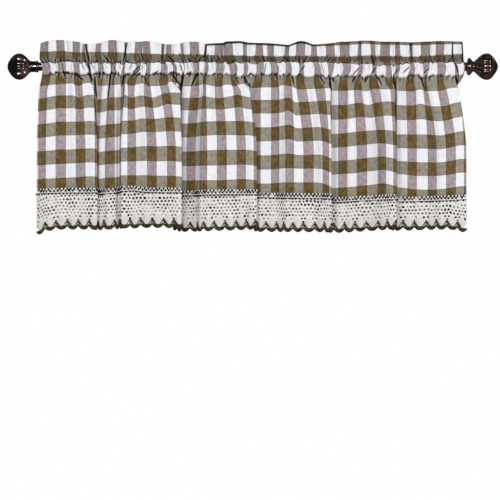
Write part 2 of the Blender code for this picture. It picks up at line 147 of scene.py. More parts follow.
# Heading and pocket: col, height (mm) of the upper edge and of where rows 1, 2 and 3 start.
headingLine = (
    ( 0.9, 41, 26, 7, -12), ( 1.8, 46, 27, 7, -12), ( 3.5, 48, 28, 8, -11), ( 5.5, 45, 26, 8, -13),
    ( 7.5, 41, 26, 7, -14), ( 9.5, 42, 27, 6, -12), (11.5, 48, 26, 5, -12), (13.5, 44, 25, 5, -16),
    (15.5, 45, 24, 6, -13), (17.5, 46, 24, 6, -14), (19.5, 41, 22, 6, -13), (21.5, 40, 23, 8, -12),
    (25.5, 45, 22, 8, -14), (27.4, 41, 21, 8, -13), (30.0, 43, 20, 7, -15), (32.5, 46, 20, 7, -15),
    (34.5, 43, 20, 7, -14), (37.5, 42, 19, 8, -14), (39.7, 39, 19, 8, -14), (41.5, 46, 19, 6, -16),
    (43.5, 40, 19, 8, -17), (47.5, 45, 18, 4, -18), (50.5, 47, 20, 3, -18), (53.5, 45, 19, 1, -19),
    (55.5, 45, 19, 2, -18), (57.5, 44, 18, 6, -17), (61.5, 46, 21, 7, -17), (65.8, 45, 23, 6, -17),
)
# Col, row that lies on the upper edge.
topFoldRow = ((0.8, 0.17), (27.2, 0.16), (27.5, -0.15), (44.0, -0.15), (47.0, -0.25), (66.0, -0.25))

# Skirt: col, height (mm) of where rows 4, 5, 7 and 11 start.
rowLine = (
    ( 0.9, -36, -59, -106, -206), ( 2.2, -34, -56, -104, -205), ( 3.5, -32, -53, -101, -204),
    ( 4.6, -31, -53, -101, -203), ( 5.5, -36, -57, -101, -202), ( 6.5, -30, -52, -100, -201),
    ( 7.2, -31, -53, -101, -202), ( 9.9, -35, -60, -108, -205), (11.5, -34, -56, -105, -203),
    (12.6, -33, -56, -104, -202), (14.4, -31, -51,  -99, -199), (15.5, -35, -57,  -99, -199),
    (16.8, -31, -53,  -95, -199), (18.0, -36, -57,  -96, -200), (19.5, -35, -49,  -93, -200),
    (20.5, -28, -48,  -94, -202), (24.5, -36, -57, -104, -208), (25.6, -35, -57, -103, -208),
    (27.4, -32, -54, -101, -208), (29.5, -37, -58, -100, -208), (30.5, -33, -55, -100, -207),
    (31.5, -36, -52, -100, -206), (32.6, -32, -56, -101, -207), (35.3, -39, -61, -111, -214),
    (36.5, -38, -61, -111, -214), (37.6, -38, -61, -110, -213), (38.7, -34, -59, -108, -212),
    (39.5, -35, -57, -107, -212), (40.5, -39, -66, -113, -212), (41.5, -42, -65, -112, -212),
    (42.6, -41, -64, -111, -213), (43.5, -41, -63, -113, -216), (44.3, -40, -63, -116, -220),
    (46.5, -44, -70, -123, -222), (47.5, -44, -70, -122, -221), (48.6, -43, -68, -120, -220),
    (49.5, -42, -66, -118, -218), (50.5, -45, -70, -117, -216), (51.5, -41, -66, -116, -214),
    (52.5, -42, -64, -117, -216), (53.4, -41, -65, -119, -219), (56.3, -44, -70, -124, -221),
    (57.5, -45, -71, -124, -224), (58.5, -42, -68, -124, -225), (59.5, -45, -72, -125, -225),
    (60.5, -45, -73, -126, -224), (61.5, -44, -72, -123, -222), (62.5, -39, -66, -119, -219),
    (63.3, -38, -63, -118, -219),
)

# Lace and edging: col, height of the lace's picot tips, height of the edging's foot (mm).
hemLine = (
    ( 0.8, -225, -310), ( 2.2, -224, -301), ( 4.0, -223, -298), ( 7.1, -223, -298), (10.0, -225, -299),
    (12.6, -222, -297), (14.4, -220, -296), (15.6, -219, -296), (17.0, -222, -295), (20.6, -223, -296),
    (24.5, -228, -302), (30.0, -226, -300), (33.4, -226, -298),
    (35.3, -231, -302), (44.3, -234, -303), (46.6, -240, -304), (50.0, -237, -301), (53.3, -235, -298),
    (56.1, -239, -300), (61.0, -237, -298), (63.3, -235, -304),
)


def easeCurve(knots, values, at):      # smooth through the knots, and never past them
    knots, values = np.asarray(knots, float), np.asarray(values, float)
    span = np.diff(knots)
    rise = np.diff(values) / span
    slope = np.zeros(len(knots))
    slope[0], slope[-1] = rise[0], rise[-1]
    same = rise[:-1] * rise[1:] > 0
    both = np.where(same, rise[:-1] + rise[1:], 1)
    slope[1:-1] = np.where(same, 2 * rise[:-1] * rise[1:] / both, 0)
    i = np.clip(np.searchsorted(knots, at, side="right") - 1, 0, len(knots) - 2)
    t = (at - knots[i]) / span[i]
    return ((1 + 2 * t) * (1 - t) ** 2 * values[i] + t * (1 - t) ** 2 * span[i] * slope[i]
            + t * t * (3 - 2 * t) * values[i + 1] + t * t * (t - 1) * span[i] * slope[i + 1])


def tableCurve(table, column, at):
    return easeCurve([row[0] for row in table], [row[column] for row in table], at)


def hump(at, rise, end, fall):         # 0 at 0, 1 from "rise" on, and down to 0 over "fall" before "end"
    return np.clip(at / rise, 0, 1) * np.clip((end - at) / fall, 0, 1)


def edgeKnots(level):                  # the brown checks' edges at one height, as (col, x)
    pick = 1 + 2 * levels.index(level)
    knots = []
    for row in checkEdges:
        for col, x in ((row[0], row[pick]), (row[0] + 1, row[pick + 1])):
            if x is not None:
                knots.append((col, x))
    return knots


def levelX(level, cols):               # where each col lies across, at one height
    knots = edgeKnots(level)
    key = {"skirtTop": "top", "middle": "middle"}.get(level)
    if key:
        for fold in folds:
            out, back, x = fold[key]
            side = 1 if back > out else -1
            low, high = min(out, back), max(out, back)
            knots = [k for k in knots if not low - 0.02 <= k[0] <= high + 0.02]
            for share, under, _ in foldPath:
                beyond = under * fold["under"] + foldNear["step"] * share
                knots.append((out + share * (back - out), x + side * beyond))
    if level in sideReturn:
        out, x = sideReturn[level]
        knots = [k for k in knots if k[0] < out]
        knots += [(out, x), (out + sideTurn["cols"], x - sideTurn["back"])]
        knots.append((cloth["lastCol"], x - sideTurn["end"]))
    knots.sort()
    first, second = knots[0], knots[1]
    if first[0] > cols[0]:
        slope = (second[1] - first[1]) / (second[0] - first[0]) * cloth["hemShare"].get(level, 1)
        knots.insert(0, (cols[0], first[1] - slope * (first[0] - cols[0])))
    return easeCurve([k[0] for k in knots], [k[1] for k in knots], cols)


def levelDepth(key, cols):             # how far forward the cloth lies, at the skirt's top or middle
    knots = []
    before, after = foldNear["clear"]
    for col, depth in panels:
        if not any(min(f[key][:2]) - before < col < max(f[key][:2]) + after for f in folds):
            knots.append((col, depth))
    for fold in folds:
        out, back, _ = fold[key]
        side = 1 if back > out else -1
        edge, trough = fold["edge"], fold["trough"]
        knots += [(out - side * away, edge - behind) for away, behind in foldRound]
        knots += [(out + share * (back - out), edge + (trough - edge) * way) for share, _, way in foldPath]
        knots.append((back + side * foldNear["after"], trough))
    knots.sort()
    return easeCurve([k[0] for k in knots], [k[1] for k in knots], cols)


# Checks narrower than "under" (mm) sink: deepest (mm), share that white ones rise, cols to either side.
narrow = {"under": 10, "sink": 9, "rise": 0.25, "reach": 0.7}


def narrowChecks(level, cols):         # checks squeezed between gathers: brown ones sink, white ones stand up
    knots = sorted(edgeKnots(level))
    relief = np.zeros(len(cols))
    for (colA, xA), (colB, xB) in zip(knots[:-1], knots[1:]):
        if colB - colA != 1:
            continue
        width = xB - xA
        if width >= narrow["under"]:
            continue
        sink = narrow["sink"] * (1 - width / narrow["under"])
        brown = colA % 2 == 1
        near = np.clip(np.abs(cols - (colA + 0.5)) / narrow["reach"], 0, 1)
        relief += (-sink if brown else narrow["rise"] * sink) * np.cos(near * math.pi / 2) ** 2
    return relief


def gatherWave(cols):                  # -1 in a valley to 1 on a ridge, uneven from one to the next
    turn = (cols - cloth["firstCol"]) / cloth["gatherCols"]
    strength = 0.8 + 0.25 * np.sin(2.1 * turn + 1) + 0.15 * np.sin(0.77 * turn)
    return strength * np.cos(2 * math.pi * (turn - 0.42) + 0.9 * np.sin(1.3 * turn))


# Small pulls at the two gather seams, on the pocket and at the ruffle's foot: how many, their depth (mm),
# width (cols), reach up and down (mm), and slant (cols for each mm).
puckers = {
    "lower": {"count": 124, "deep": (0.8, 6.6), "wide": (0.09, 0.14), "up": (1.5, 5.0), "down": (2.5, 9.5),
              "slant": 0.022, "seed": 5},
    "pocket": {"count": 170, "deep": (0.5, 3.5), "wide": (0.08, 0.15), "up": (6.0, 12.0), "down": (6.0, 14.0),
               "slant": 0.03, "seed": 9},
    "upper": {"count": 104, "deep": (0.6, 6.4), "wide": (0.09, 0.15), "up": (3.0, 9.0), "down": (2.0, 6.0),
              "slant": 0.03, "seed": 6},
    "ruffle": {"count": 96, "deep": (0.5, 6.2), "wide": (0.09, 0.14), "up": (1.2, 3.0), "down": (2.0, 6.0),
               "slant": 0.028, "seed": 7},
}


def seamPuckers(cols, above, seam):    # depth taken away by the pulls, "above" mm over their seam
    pull = puckers[seam]
    rng = np.random.RandomState(pull["seed"])
    count = pull["count"]
    step = (cloth["lastCol"] - cloth["firstCol"]) / count
    places = cloth["firstCol"] + step * (np.arange(count) + rng.uniform(0.1, 0.9, count))
    deep = pull["deep"][0] + (pull["deep"][1] - pull["deep"][0]) * rng.uniform(0, 1, count) ** 1.3
    wide = rng.uniform(*pull["wide"], count)
    up = rng.uniform(*pull["up"], count)
    down = rng.uniform(*pull["down"], count)
    slant = rng.uniform(-1, 1, count) * pull["slant"]
    total = np.zeros(np.broadcast(cols, above).shape)
    for i in range(count):
        away = (cols - places[i] - slant[i] * above) / wide[i]
        reach = np.where(above > 0, up[i], down[i])
        total = np.maximum(total, deep[i] * np.exp(-away * away) * np.exp(-(above / reach) ** 2))
    return total


# The row above each seam hangs over it in small lobes between the gathers.
lobes = {
    "ruffle": {"count": 92, "hang": 1.5, "seed": 15},
    "upper": {"count": 74, "hang": 4.6, "seed": 14},
    "lower": {"count": 70, "hang": 6.2, "seed": 12},
}


def hangingLobes(cols, seam):          # how far the lobes hang (mm), and up to 1 at the gathers between them
    lobe = lobes[seam]
    rng = np.random.RandomState(lobe["seed"])
    ends = np.cumsum(rng.uniform(0.35, 1.6, lobe["count"] + 1))
    ends = np.interp(ends, (ends[0], ends[-1]), (cloth["firstCol"], cloth["lastCol"]))
    i = np.clip(np.searchsorted(ends, cols, side="right") - 1, 0, lobe["count"] - 1)
    wide = ends[i + 1] - ends[i]
    t = np.clip((cols - ends[i]) / wide, 0, 1) ** rng.uniform(0.55, 1.7, lobe["count"])[i]
    hang = lobe["hang"] * rng.uniform(0.3, 1, lobe["count"])[i] * np.minimum(wide / 0.8, 1.2)
    gather = np.exp(-(np.minimum(t, 1 - t) * wide / 0.14) ** 2) * rng.uniform(0.2, 1, lobe["count"])[i]
    return hang * (1 - (2 * t - 1) ** 2) ** 0.6, gather


# Main creases: x and height (mm) where each starts and ends, depth and width (mm).
creases = (
    # heading
    (-306,  45, -299,   8, 3.0, 2.2), (-273,  22, -262,   8, 2.6, 2.0), (-230,  45, -237,   6, 3.5, 1.6),
    (-204,  25, -200,   9, 2.0, 1.6), (-155,  20, -142,   7, 3.0, 1.8), ( -99,  11,  -89,  21, 2.2, 1.6),
    ( -85,  43,  -89,  10, 3.5, 1.5), ( -65,  21,  -58,   8, 2.0, 2.0), (  18,  18,   23,   8, 2.2, 2.0),
    (  58,  18,   67,   8, 2.2, 2.0), (  94,   8,  101,  20, 2.0, 1.8), ( 136,   7,  144,  19, 2.2, 1.8),
    ( 217,  21,  223,   3, 3.2, 1.7), ( 286,  22,  290,  43, 1.5, 1.4), ( 325,  16,  330,   4, 2.2, 1.8),
    ( 365,  43,  365,  16, 1.8, 1.1),
    # pocket
    (-301,   6, -296, -13, 2.0, 1.6), (-254,   0, -248, -13, 1.8, 1.5), (-220, -12, -206,   1, 2.0, 1.5),
    (-213, -12, -204,  -3, 1.8, 1.4), (-180, -15, -171,  -6, 2.0, 1.5), (-133,   4, -127, -12, 2.0, 1.5),
    (  25,   6,   21, -13, 1.8, 1.5), (  87, -10,   94,   1, 1.8, 1.5), ( 125,   6,  131, -15, 1.8, 1.5),
    ( 184, -15,  195,  -2, 2.4, 1.5), ( 219, -12,  226,  -1, 2.4, 1.5), ( 259, -15,  268,  -3, 2.4, 1.5),
    ( 275, -12,  286,  -1, 2.4, 1.5), ( 314, -12,  323,  -3, 2.4, 1.5), ( 371,   6,  376, -12, 2.0, 1.6),
    # skirt
    (-325, -12, -308, -27, 2.4, 2.2), (-300, -12, -293, -26, 3.0, 1.8), (-289, -20, -285, -60, 3.0, 1.8),
    (-260, -16, -265, -62, 3.0, 1.9), (-235, -17, -239, -36, 2.6, 1.5), (-199, -17, -193, -29, 2.0, 1.8),
    (-147, -14, -133, -34, 3.0, 2.0), (-127, -14, -131, -46, 4.0, 1.8), (-103, -15, -112, -36, 3.4, 1.8),
    ( -32, -19,  -25, -32, 2.0, 2.0), ( -16, -19,   -4, -38, 3.0, 1.8), (  43, -15,   46, -26, 1.8, 1.8),
    (  72, -17,   76, -34, 2.4, 1.8), ( 124, -19,  133, -34, 2.0, 2.0), ( 140, -17,  144, -43, 3.0, 1.5),
    ( 188, -17,  182, -30, 2.4, 1.8), ( 211, -19,  206, -30, 2.0, 1.8), ( 230, -20,  237, -36, 2.2, 2.0),
    ( 257, -17,  263, -60, 2.3, 1.3), ( 308, -20,  314, -40, 2.2, 2.0), ( 371, -17,  378, -40, 3.0, 1.8),
)


def creaseDepth(x, z):                 # all in mm
    total = np.zeros(x.shape)
    for xA, zA, xB, zB, deep, wide in creases:
        t = (z - zA) / (zB - zA)
        away = (x - (xA + (xB - xA) * t)) / (wide * math.hypot(1, (xB - xA) / (zB - zA)))
        fade = np.clip((t + 0.12) / 0.2, 0, 1) * np.clip((1.12 - t) / 0.35, 0, 1)
        total = total + deep * fade * np.exp(-away * away)
    return total


def skirtSurface(cols, z):             # x, forward distance and depth of the gathers (mm) below the heading
    xs = np.array([levelX(level, cols) for level in levels])
    fall = -np.array([levelHeights[level] for level in levels])
    span = np.diff(fall)[:, None]
    rise = np.diff(xs, axis=0) / span
    same = rise[:-1] * rise[1:] > 0
    slope = np.zeros(xs.shape)
    slope[1:-1] = np.where(same, 2 * rise[:-1] * rise[1:] / np.where(same, rise[:-1] + rise[1:], 1), 0)
    x = xs[0].copy()
    for i in range(len(levels) - 2):   # smooth from each height to the next
        t = np.clip((-z - fall[i]) / span[i], 0, 1)
        x = x + (xs[i + 1] - xs[i]) * t * t * (3 - 2 * t)
        x = x + (t * (1 - t) ** 2 * slope[i] - t * t * (1 - t) * slope[i + 1]) * span[i]
    t = np.clip((-z - fall[-2]) / span[-1], 0, 1)
    x = x + (xs[-1] - xs[-2]) * (1 - (1 - t) ** 1.5)
    top, middle = levelHeights["skirtTop"], levelHeights["middle"]
    down = 1 - (1 - np.clip((top - z) / (top - middle), 0, 1)) ** 1.5
    depth = levelDepth("top", cols) * (1 - down) + levelDepth("middle", cols) * down
    share = np.interp(-z, [-row[0] for row in opening], [row[1] for row in opening])
    ruffle = np.interp(-z, [-row[0] for row in opening], [row[2] for row in opening])
    facing = np.clip(np.gradient(x, cols) / cloth["fullCheck"], 0, 1) ** 2
    return x, share * depth, ruffle * facing


shade = {
    "pullDark": 3.4,        # mm, a pull this deep is painted quite dark, as shade
    "creaseDark": 2.1,      # mm, so is a crease this deep
    "underSeamShade": 0.4,       # how dark the painted shade is just under the lower seam
    "seamHigh": (6, 7),     # mm, how far the painted shade of the upper and of the lower seam reaches
    "litNear": 2,           # stations from a dark line to the light beside it
    "lip": 2.2,             # mm, how wide the painted shade beside a fold's edge is
    "lipStart": 20.0,       # mm below the rod's axis where that line starts
    "lipGrow": 22.0,        # mm until it is all there
    "lipDark": ((60, 0.9), (200, 0.5)),     # mm below the rod's axis, how dark it is
    "lipFall": 106.0,       # mm from the skirt's top to where the edge has its place at the middle
    # Col, how strong: the painted shade under the two seams, the pulls, those at the ruffle's foot, and the
    # painted shade on the heading's fold, where the next brown row shows.
    "lower": ((0.8, 1.0), (20, 1.0), (30, 0.7), (44, 0.5), (66, 0.5)),
    "upper": ((0.8, 1.0), (20, 0.95), (66, 0.8)),
    "tucks": ((0.8, 1.0), (24, 1.0), (34, 0.7), (66, 0.62)),
    "ruffle": ((12, 0.25), (20, 0.6), (27, 1.0), (66, 1.0)),
    "fold": ((27.2, 0.0), (27.6, 1.0), (43.0, 1.0), (47.0, 0.4), (66.0, 0.4)),
}


def strongAt(name, cols):
    return np.interp(cols, *zip(*shade[name]))


def foldShade(cols, x, z):             # painted shade beside the folds' edges
    total = np.zeros(len(cols))
    deep = np.clip((-shade["lipStart"] - z) / shade["lipGrow"], 0, 1) * np.interp(-z, *zip(*shade["lipDark"]))
    down = np.clip((levelHeights["skirtTop"] - z) / shade["lipFall"], 0, 1)
    for fold in folds:
        out, back, edge = (fold["top"][k] * (1 - down) + fold["middle"][k] * down for k in range(3))
        side = 1 if fold["top"][1] > fold["top"][0] else -1
        beyond = (cols - back) * side
        away = np.abs(x - edge) / shade["lip"]
        total = np.maximum(total, np.where(beyond > -0.5, np.exp(-away * away), 0))
    return total * deep


def rowNumbers(cols, z):               # which row of checks lies at each point; z has a line for each station
    spare = 60                         # mm that the rows go on below the last height of the table
    line = [tableCurve(headingLine, k, cols) for k in (1, 2, 3, 4)]
    line += [tableCurve(rowLine, k, np.minimum(cols, rowLine[-1][0])) for k in (1, 2, 3, 4)]
    topRow = np.interp(cols, [row[0] for row in topFoldRow], [row[1] for row in topFoldRow])
    rows = np.zeros(z.shape)
    for k, seam in ((1, "ruffle"), (2, "upper"), (3, "lower")):
        line[k] = line[k] + 0.5 * lobes[seam]["hang"] - hangingLobes(cols, seam)[0]
    for i in range(len(cols)):
        heights = [spare - line[7][i]] + [-line[k][i] for k in (7, 6, 5, 4, 3, 2, 1, 0)]
        numbers = [11 + spare / cloth["checkHigh"], 11, 7, 5, 4, 3, 2, 1, topRow[i]]
        rows[i] = easeCurve(heights[::-1], numbers[::-1], -z[i])
    return rows, topRow


def addObject(name, data):
    obj = bpy.data.objects.new(name, data)
    bpy.context.scene.collection.objects.link(obj)
    return obj


def gridMesh(name, points, uvs, values):           # a sheet from its points, stations by rows, in metres
    stations, rows = points.shape[:2]
    index = np.arange(stations * rows).reshape(stations, rows)
    faces = np.stack((index[:-1, :-1], index[1:, :-1], index[1:, 1:], index[:-1, 1:]), axis=-1).reshape(-1, 4)
    mesh = bpy.data.meshes.new(name)
    mesh.from_pydata(points.reshape(-1, 3).tolist(), [], faces.tolist())
    layer = mesh.uv_layers.new(name="weave")
    loops = np.zeros(len(mesh.loops), dtype=np.int32)
    mesh.loops.foreach_get("vertex_index", loops)
    layer.data.foreach_set("uv", uvs.reshape(-1, 2)[loops].astype(np.float32).ravel())
    for key, value in values.items():
        attribute = mesh.attributes.new(key, "FLOAT", "POINT")
        attribute.data.foreach_set("value", value.astype(np.float32).ravel())
    mesh.shade_smooth()
    return addObject(name, mesh)


def makeGingham():
    cols = np.linspace(cloth["firstCol"], cloth["lastCol"], cloth["stations"])
    wave = gatherWave(cols)
    topEdge = tableCurve(headingLine, 1, cols)
    # the lower seam goes up and down with the lobes that hang over it, and stays under the rod
    lowSeam = tableCurve(headingLine, 4, cols) + 0.5 * lobes["lower"]["hang"] - hangingLobes(cols, "lower")[0]
    lowSeam = np.minimum(lowSeam, cloth["seamBelow"])
    foot = tableCurve(hemLine, 1, np.minimum(cols, cloth["laceEnd"])) - cloth["behindLace"]
    sinkTop, sinkPocket, sinkSkirt = (narrowChecks(level, cols) for level in levels[:3])
    seam, atSeam, limit = cloth["seamAbove"], cloth["atSeam"], cloth["pullLimit"]
    ruffleFoot = tableCurve(headingLine, 2, cols)
    ruffleShare, tuckShare, foldDark = (strongAt(name, cols) for name in ("ruffle", "tucks", "fold"))
    seamShadeAmount = []
    for name in ("upper", "lower"):     # painted shade in the gap under the lobes, darkest at the gathers
        hang, gather = hangingLobes(cols, name)
        reach = 0.24 + 0.12 * hang / lobes[name]["hang"] + gather
        seamShadeAmount.append(strongAt(name, cols) * np.clip(reach, 0, 1))
    lines = []                          # each: x, forward, z, painted shade, layers of cloth, is it the back layer

    # painted shade for the pulls and creases
    def darkness(tuck, crease):
        return tuckShare * tuck / shade["pullDark"] + crease / shade["creaseDark"]

    def addLine(x, forward, z, paintedShade, double=0.0, back=0.0):
        lines.append((x, forward, z, paintedShade, double + 0 * cols, back + 0 * cols))

    # the skirt, from its foot up to the lower seam
    steps = np.linspace(1, 0, cloth["skirtRows"] + 1)[:-1]
    for s in 0.2 * steps + 0.8 * steps ** 4:        # closer together near the seam, where the creases are
        z = lowSeam + (foot - lowSeam) * s
        x, forward, ruffle = skirtSurface(cols, z)
        below = lowSeam - z
        tuck, crease = seamPuckers(cols, -below, "lower"), creaseDepth(x, z)
        sink = sinkSkirt * hump(below, *cloth["sinkSpan"])
        rise = atSeam + cloth["shoulder"] * hump(below, *cloth["shoulderSpan"])
        # painted shade in the pulls and creases, where narrow checks sink, beside the folds' edges and under
        # the lower seam
        paintedShade = darkness(tuck, crease) - np.minimum(sink, 0) * 0.12 + foldShade(cols, x, z)
        paintedShade = paintedShade + shade["underSeamShade"] * np.exp(-below / shade["seamHigh"][1])
        addLine(x, rise + forward + ruffle * wave + sink - np.minimum(tuck + crease, limit), z, paintedShade)

    def pocketPull(x, z):
        atSeams = np.maximum(seamPuckers(cols, z - lowSeam, "lower"), seamPuckers(cols, z - seam, "upper"))
        return np.maximum(atSeams, seamPuckers(cols, z, "pocket")), creaseDepth(x, z)

    # the pocket, up to the upper seam
    for s in np.linspace(0, 1, cloth["pocketRows"] + 1)[:-1]:
        z = lowSeam + (seam - lowSeam) * s
        x = skirtSurface(cols, z)[0]
        fullness = math.sin(math.pi * s) ** cloth["pocketRound"]
        tuck, crease = pocketPull(x, z)
        # painted shade in the pulls and creases, and where narrow checks sink
        paintedShade = darkness(tuck, crease) - np.minimum(sinkPocket, 0) * 0.1
        forward = atSeam + (cloth["pocketDeep"] - atSeam) * fullness + wave * fullness
        forward = forward + sinkPocket * 0.25 - np.minimum(tuck + crease, limit) * (1 - 0.5 * fullness)
        if fullness > 0.5:
            forward = np.maximum(forward, cloth["rodClear"])
        addLine(x, forward, z, paintedShade, 0.6 * fullness)

    lean = cloth["headingLean"] * np.sin(0.95 * cols + 1.4 * np.sin(0.37 * cols))

    def headingAt(s):                   # a line of the heading, 0 at the seam and 1 at its edge
        z = seam + (topEdge - seam) * s
        x = levelX("heading", cols) + (skirtSurface(cols, z)[0] - levelX("heading", cols)) * max(0, 1 - s * 3)
        x = x + lean * s * s
        tuck = np.maximum(seamPuckers(cols, z - seam, "upper"),
                          seamPuckers(cols, z - ruffleFoot, "ruffle") * ruffleShare)
        crease = creaseDepth(x, z)
        sink = sinkTop * (0.35 + 0.65 * s ** 0.5)
        forward = atSeam + cloth["headingWave"] * wave * (0.25 + 0.75 * s) + 1.2 * math.sin(math.pi * s)
        forward = forward + sink - np.minimum(tuck + crease, limit)
        return x, forward, z, darkness(tuck, crease), sink

    # the front of the heading, up to its edge, with more points near the seam
    steps = np.linspace(0, 1, cloth["headingRows"] + 1) ** 1.25
    for s in steps:
        x, forward, z, paintedShade, sink = headingAt(s)
        # painted shade where narrow checks sink
        paintedShade = paintedShade - np.minimum(sink, 0) * 0.05
        # painted shade on the heading's fold
        paintedShade = paintedShade + foldDark * min(max(0, s - 0.84) * 10, 1)
        addLine(x, forward, z, paintedShade, 1.0)
    # over the edge and down the back, to the hem at the lower seam
    headX, headForward = lines[-1][0], lines[-1][1]
    gap = cloth["layerGap"]
    addLine(headX, headForward - gap * 0.25, topEdge + 0.7, lines[-1][3], 1.0)
    addLine(headX, headForward - gap * 0.75, topEdge + 0.7, lines[-1][3] * 0.5, 1.0, 1.0)
    for s in steps[-2:0:-2]:
        x, forward, z, _, _ = headingAt(s)
        addLine(x, forward - gap * (0.9 + 0.4 * math.sin(math.pi * s)), z, x * 0, 1.0, 1.0)
    for s in np.linspace(1, 0, cloth["backRows"]):
        z = lowSeam + (seam - lowSeam) * s
        x = skirtSurface(cols, z)[0]
        fullness = math.sin(math.pi * s) ** cloth["pocketRound"] if 0 < s < 1 else 0.0
        pull = np.minimum(sum(pocketPull(x, z)), limit) * (1 - fullness)
        back = -atSeam - (cloth["pocketDeep"] - 1.8) * fullness - 0.8 * (wave + 1) * fullness
        addLine(x, back - pull, z, x * 0, 0.6, 1.0)

    x, forward, z, paintedShade, double, back = (np.stack([line[k] for line in lines], axis=1) for k in range(6))
    rows, topRow = rowNumbers(cols, z)
    rows = np.where(back > 0.5, 2 * topRow[:, None] - rows, rows)
    # 1 at the foot of the ruffle, just over the upper seam
    inFoot = np.clip((ruffleFoot[:, None] + 2 - z) / 4, 0, 1) * np.clip((z - seam + 1) / 3, 0, 1)
    inFoot = inFoot * ruffleShare[:, None] * (back < 0.5)
    double = double + cloth["footDouble"] * inFoot
    bulge = cloth["footBulge"] / math.pi * np.sin(math.pi * (cols - 1.5))
    uvs = np.stack((cols[:, None] - bulge[:, None] * inFoot, rows), axis=-1)
    points = np.stack((x, -forward, z), axis=-1) * mm
    # painted shade under the lobes of both seams
    seamShade = 0
    for dark, middle, high in zip(seamShadeAmount, (seam, lowSeam[:, None]), shade["seamHigh"]):
        seamShade = np.maximum(seamShade, dark[:, None] * np.exp(-((z - middle) / high) ** 2))
    paintedShade = np.clip(paintedShade, 0, 1)
    beside = np.zeros(paintedShade.shape)     # the cloth beside a dark line stands up and catches the light
    near = shade["litNear"]
    beside[near:-near] = paintedShade[2 * near:] ** 2 + paintedShade[:-2 * near] ** 2 - 2 * paintedShade[near:-near] ** 2
    return gridMesh("gingham_valance", points, uvs,
                    {"paintedShade": paintedShade, "lit": np.clip(beside, 0, 1) * (1 - 0.6 * inFoot), "double": double,
                     "seamShade": np.where(back > 0.5, 0, seamShade)})


lace = {
    "teeth": 56,
    "perTooth": 24,         # points across each tooth
    "rows": 26,             # lines of points down
    "plain": 0.8,           # share of them that lie above the teeth
    "base": 3.2,            # mm in front of the folds' own depth, 2 mm more than the gingham there
    "inFront": 1.6,         # mm more, for the lace itself
    "band": 3.6,            # mm from the picot tips down to the sheet's own edge
    "thread": 8.6,          # mm from the picot tips down to the dark thread
    "notch": 15.8,          # mm from the foot of the edging up to the notches between the teeth
    "toothDrop": 9.0,       # mm from a notch down to a tooth's foot
    "holePitch": 6.2,       # mm between two rows of holes
    "holesPerTooth": 3,
    "curl": 1.2,            # mm, how far the teeth curl
}


def hangingAt(cols, z):                # x and forward distance (mm) just in front of the skirt
    x, forward, ruffle = skirtSurface(cols, z)
    return x, lace["base"] + forward + ruffle * gatherWave(cols)


def makeLace():
    cols = np.linspace(cloth["firstCol"], cloth["laceEnd"], lace["teeth"] * lace["perTooth"] + 1)
    turn = np.linspace(0, lace["teeth"], len(cols))
    notch = tableCurve(hemLine, 2, cols) + lace["notch"]
    top = tableCurve(hemLine, 1, cols) - lace["band"]
    place = turn % 1                    # from one notch to the next
    tooth = 1 - np.abs(2 * place - 1) ** 1.7
    points, uvs, tops = [], [], []
    for s in np.linspace(0, 1, lace["rows"]):
        flat = top + (notch - top) * np.minimum(s / lace["plain"], 1)
        z = flat - lace["toothDrop"] * tooth * max(0, (s - lace["plain"]) / (1 - lace["plain"]))
        x, forward = hangingAt(cols, z)
        curl = lace["curl"] * np.maximum(0, (notch + 12 - z) / 20) * np.cos(2 * math.pi * (place - 0.5))
        points.append(np.stack((x, -forward - lace["inFront"] - curl, z), axis=-1))
        uvs.append(np.stack((turn * lace["holesPerTooth"], (z - notch) / lace["holePitch"]), axis=-1))
        tops.append(top + lace["band"] - z)
    points, uvs, tops = (np.stack(part[::-1], axis=1) for part in (points, uvs, tops))
    return gridMesh("lace_sheet", points * mm, uvs, {"fromTop": tops})


def tubeFaces(path, radius, sides):    # a round thread along a path, as points and faces
    path = np.asarray(path, float)
    ahead = np.gradient(path, axis=0)
    ahead /= np.linalg.norm(ahead, axis=1)[:, None]
    side = np.cross(ahead, (0.0, 1.0, 0.0))
    side /= np.maximum(np.linalg.norm(side, axis=1), 1e-6)[:, None]
    up = np.cross(side, ahead)
    angle = np.arange(sides) * 2 * math.pi / sides
    radius = np.broadcast_to(radius, len(path))[:, None, None]
    ring = side[:, None, :] * np.cos(angle)[None, :, None] + up[:, None, :] * np.sin(angle)[None, :, None]
    verts = (path[:, None, :] + ring * radius).reshape(-1, 3)
    index = np.arange(len(path) * sides).reshape(len(path), sides)
    turned = np.roll(index, -1, axis=1)
    faces = np.stack((index[:-1], index[1:], turned[1:], turned[:-1]), axis=-1).reshape(-1, 4).tolist()
    faces += [index[0].tolist(), index[-1][::-1].tolist()]
    return verts, faces


def joinTubes(name, tubes):            # many threads as one mesh; each tube is path, radius, sides
    verts, faces, total = [], [], 0
    for path, radius, sides in tubes:
        ringVerts, ringFaces = tubeFaces(path, radius, sides)
        faces += [[i + total for i in face] for face in ringFaces]
        verts.append(ringVerts)
        total += len(ringVerts)
    mesh = bpy.data.meshes.new(name)
    mesh.from_pydata((np.concatenate(verts) * mm).tolist(), [], faces)
    mesh.shade_smooth()
    made = bmesh.new()
    made.from_mesh(mesh)
    bmesh.ops.recalc_face_normals(made, faces=made.faces)
    made.to_mesh(mesh)
    made.free()
    return addObject(name, mesh)


def laceCols(turn):                    # col at a place along the lace, which is counted in teeth
    return cloth["firstCol"] + (cloth["laceEnd"] - cloth["firstCol"]) * turn / lace["teeth"]


def onLace(turn, z, out):              # points "out" mm in front of the lace, at places along it and heights
    x, forward = hangingAt(laceCols(turn), z)
    return np.stack((x, -forward - lace["inFront"] - out, z), axis=-1)


def tipHeight(turn):
    return tableCurve(hemLine, 1, laceCols(turn))


def footHeight(turn):
    return tableCurve(hemLine, 2, laceCols(turn))


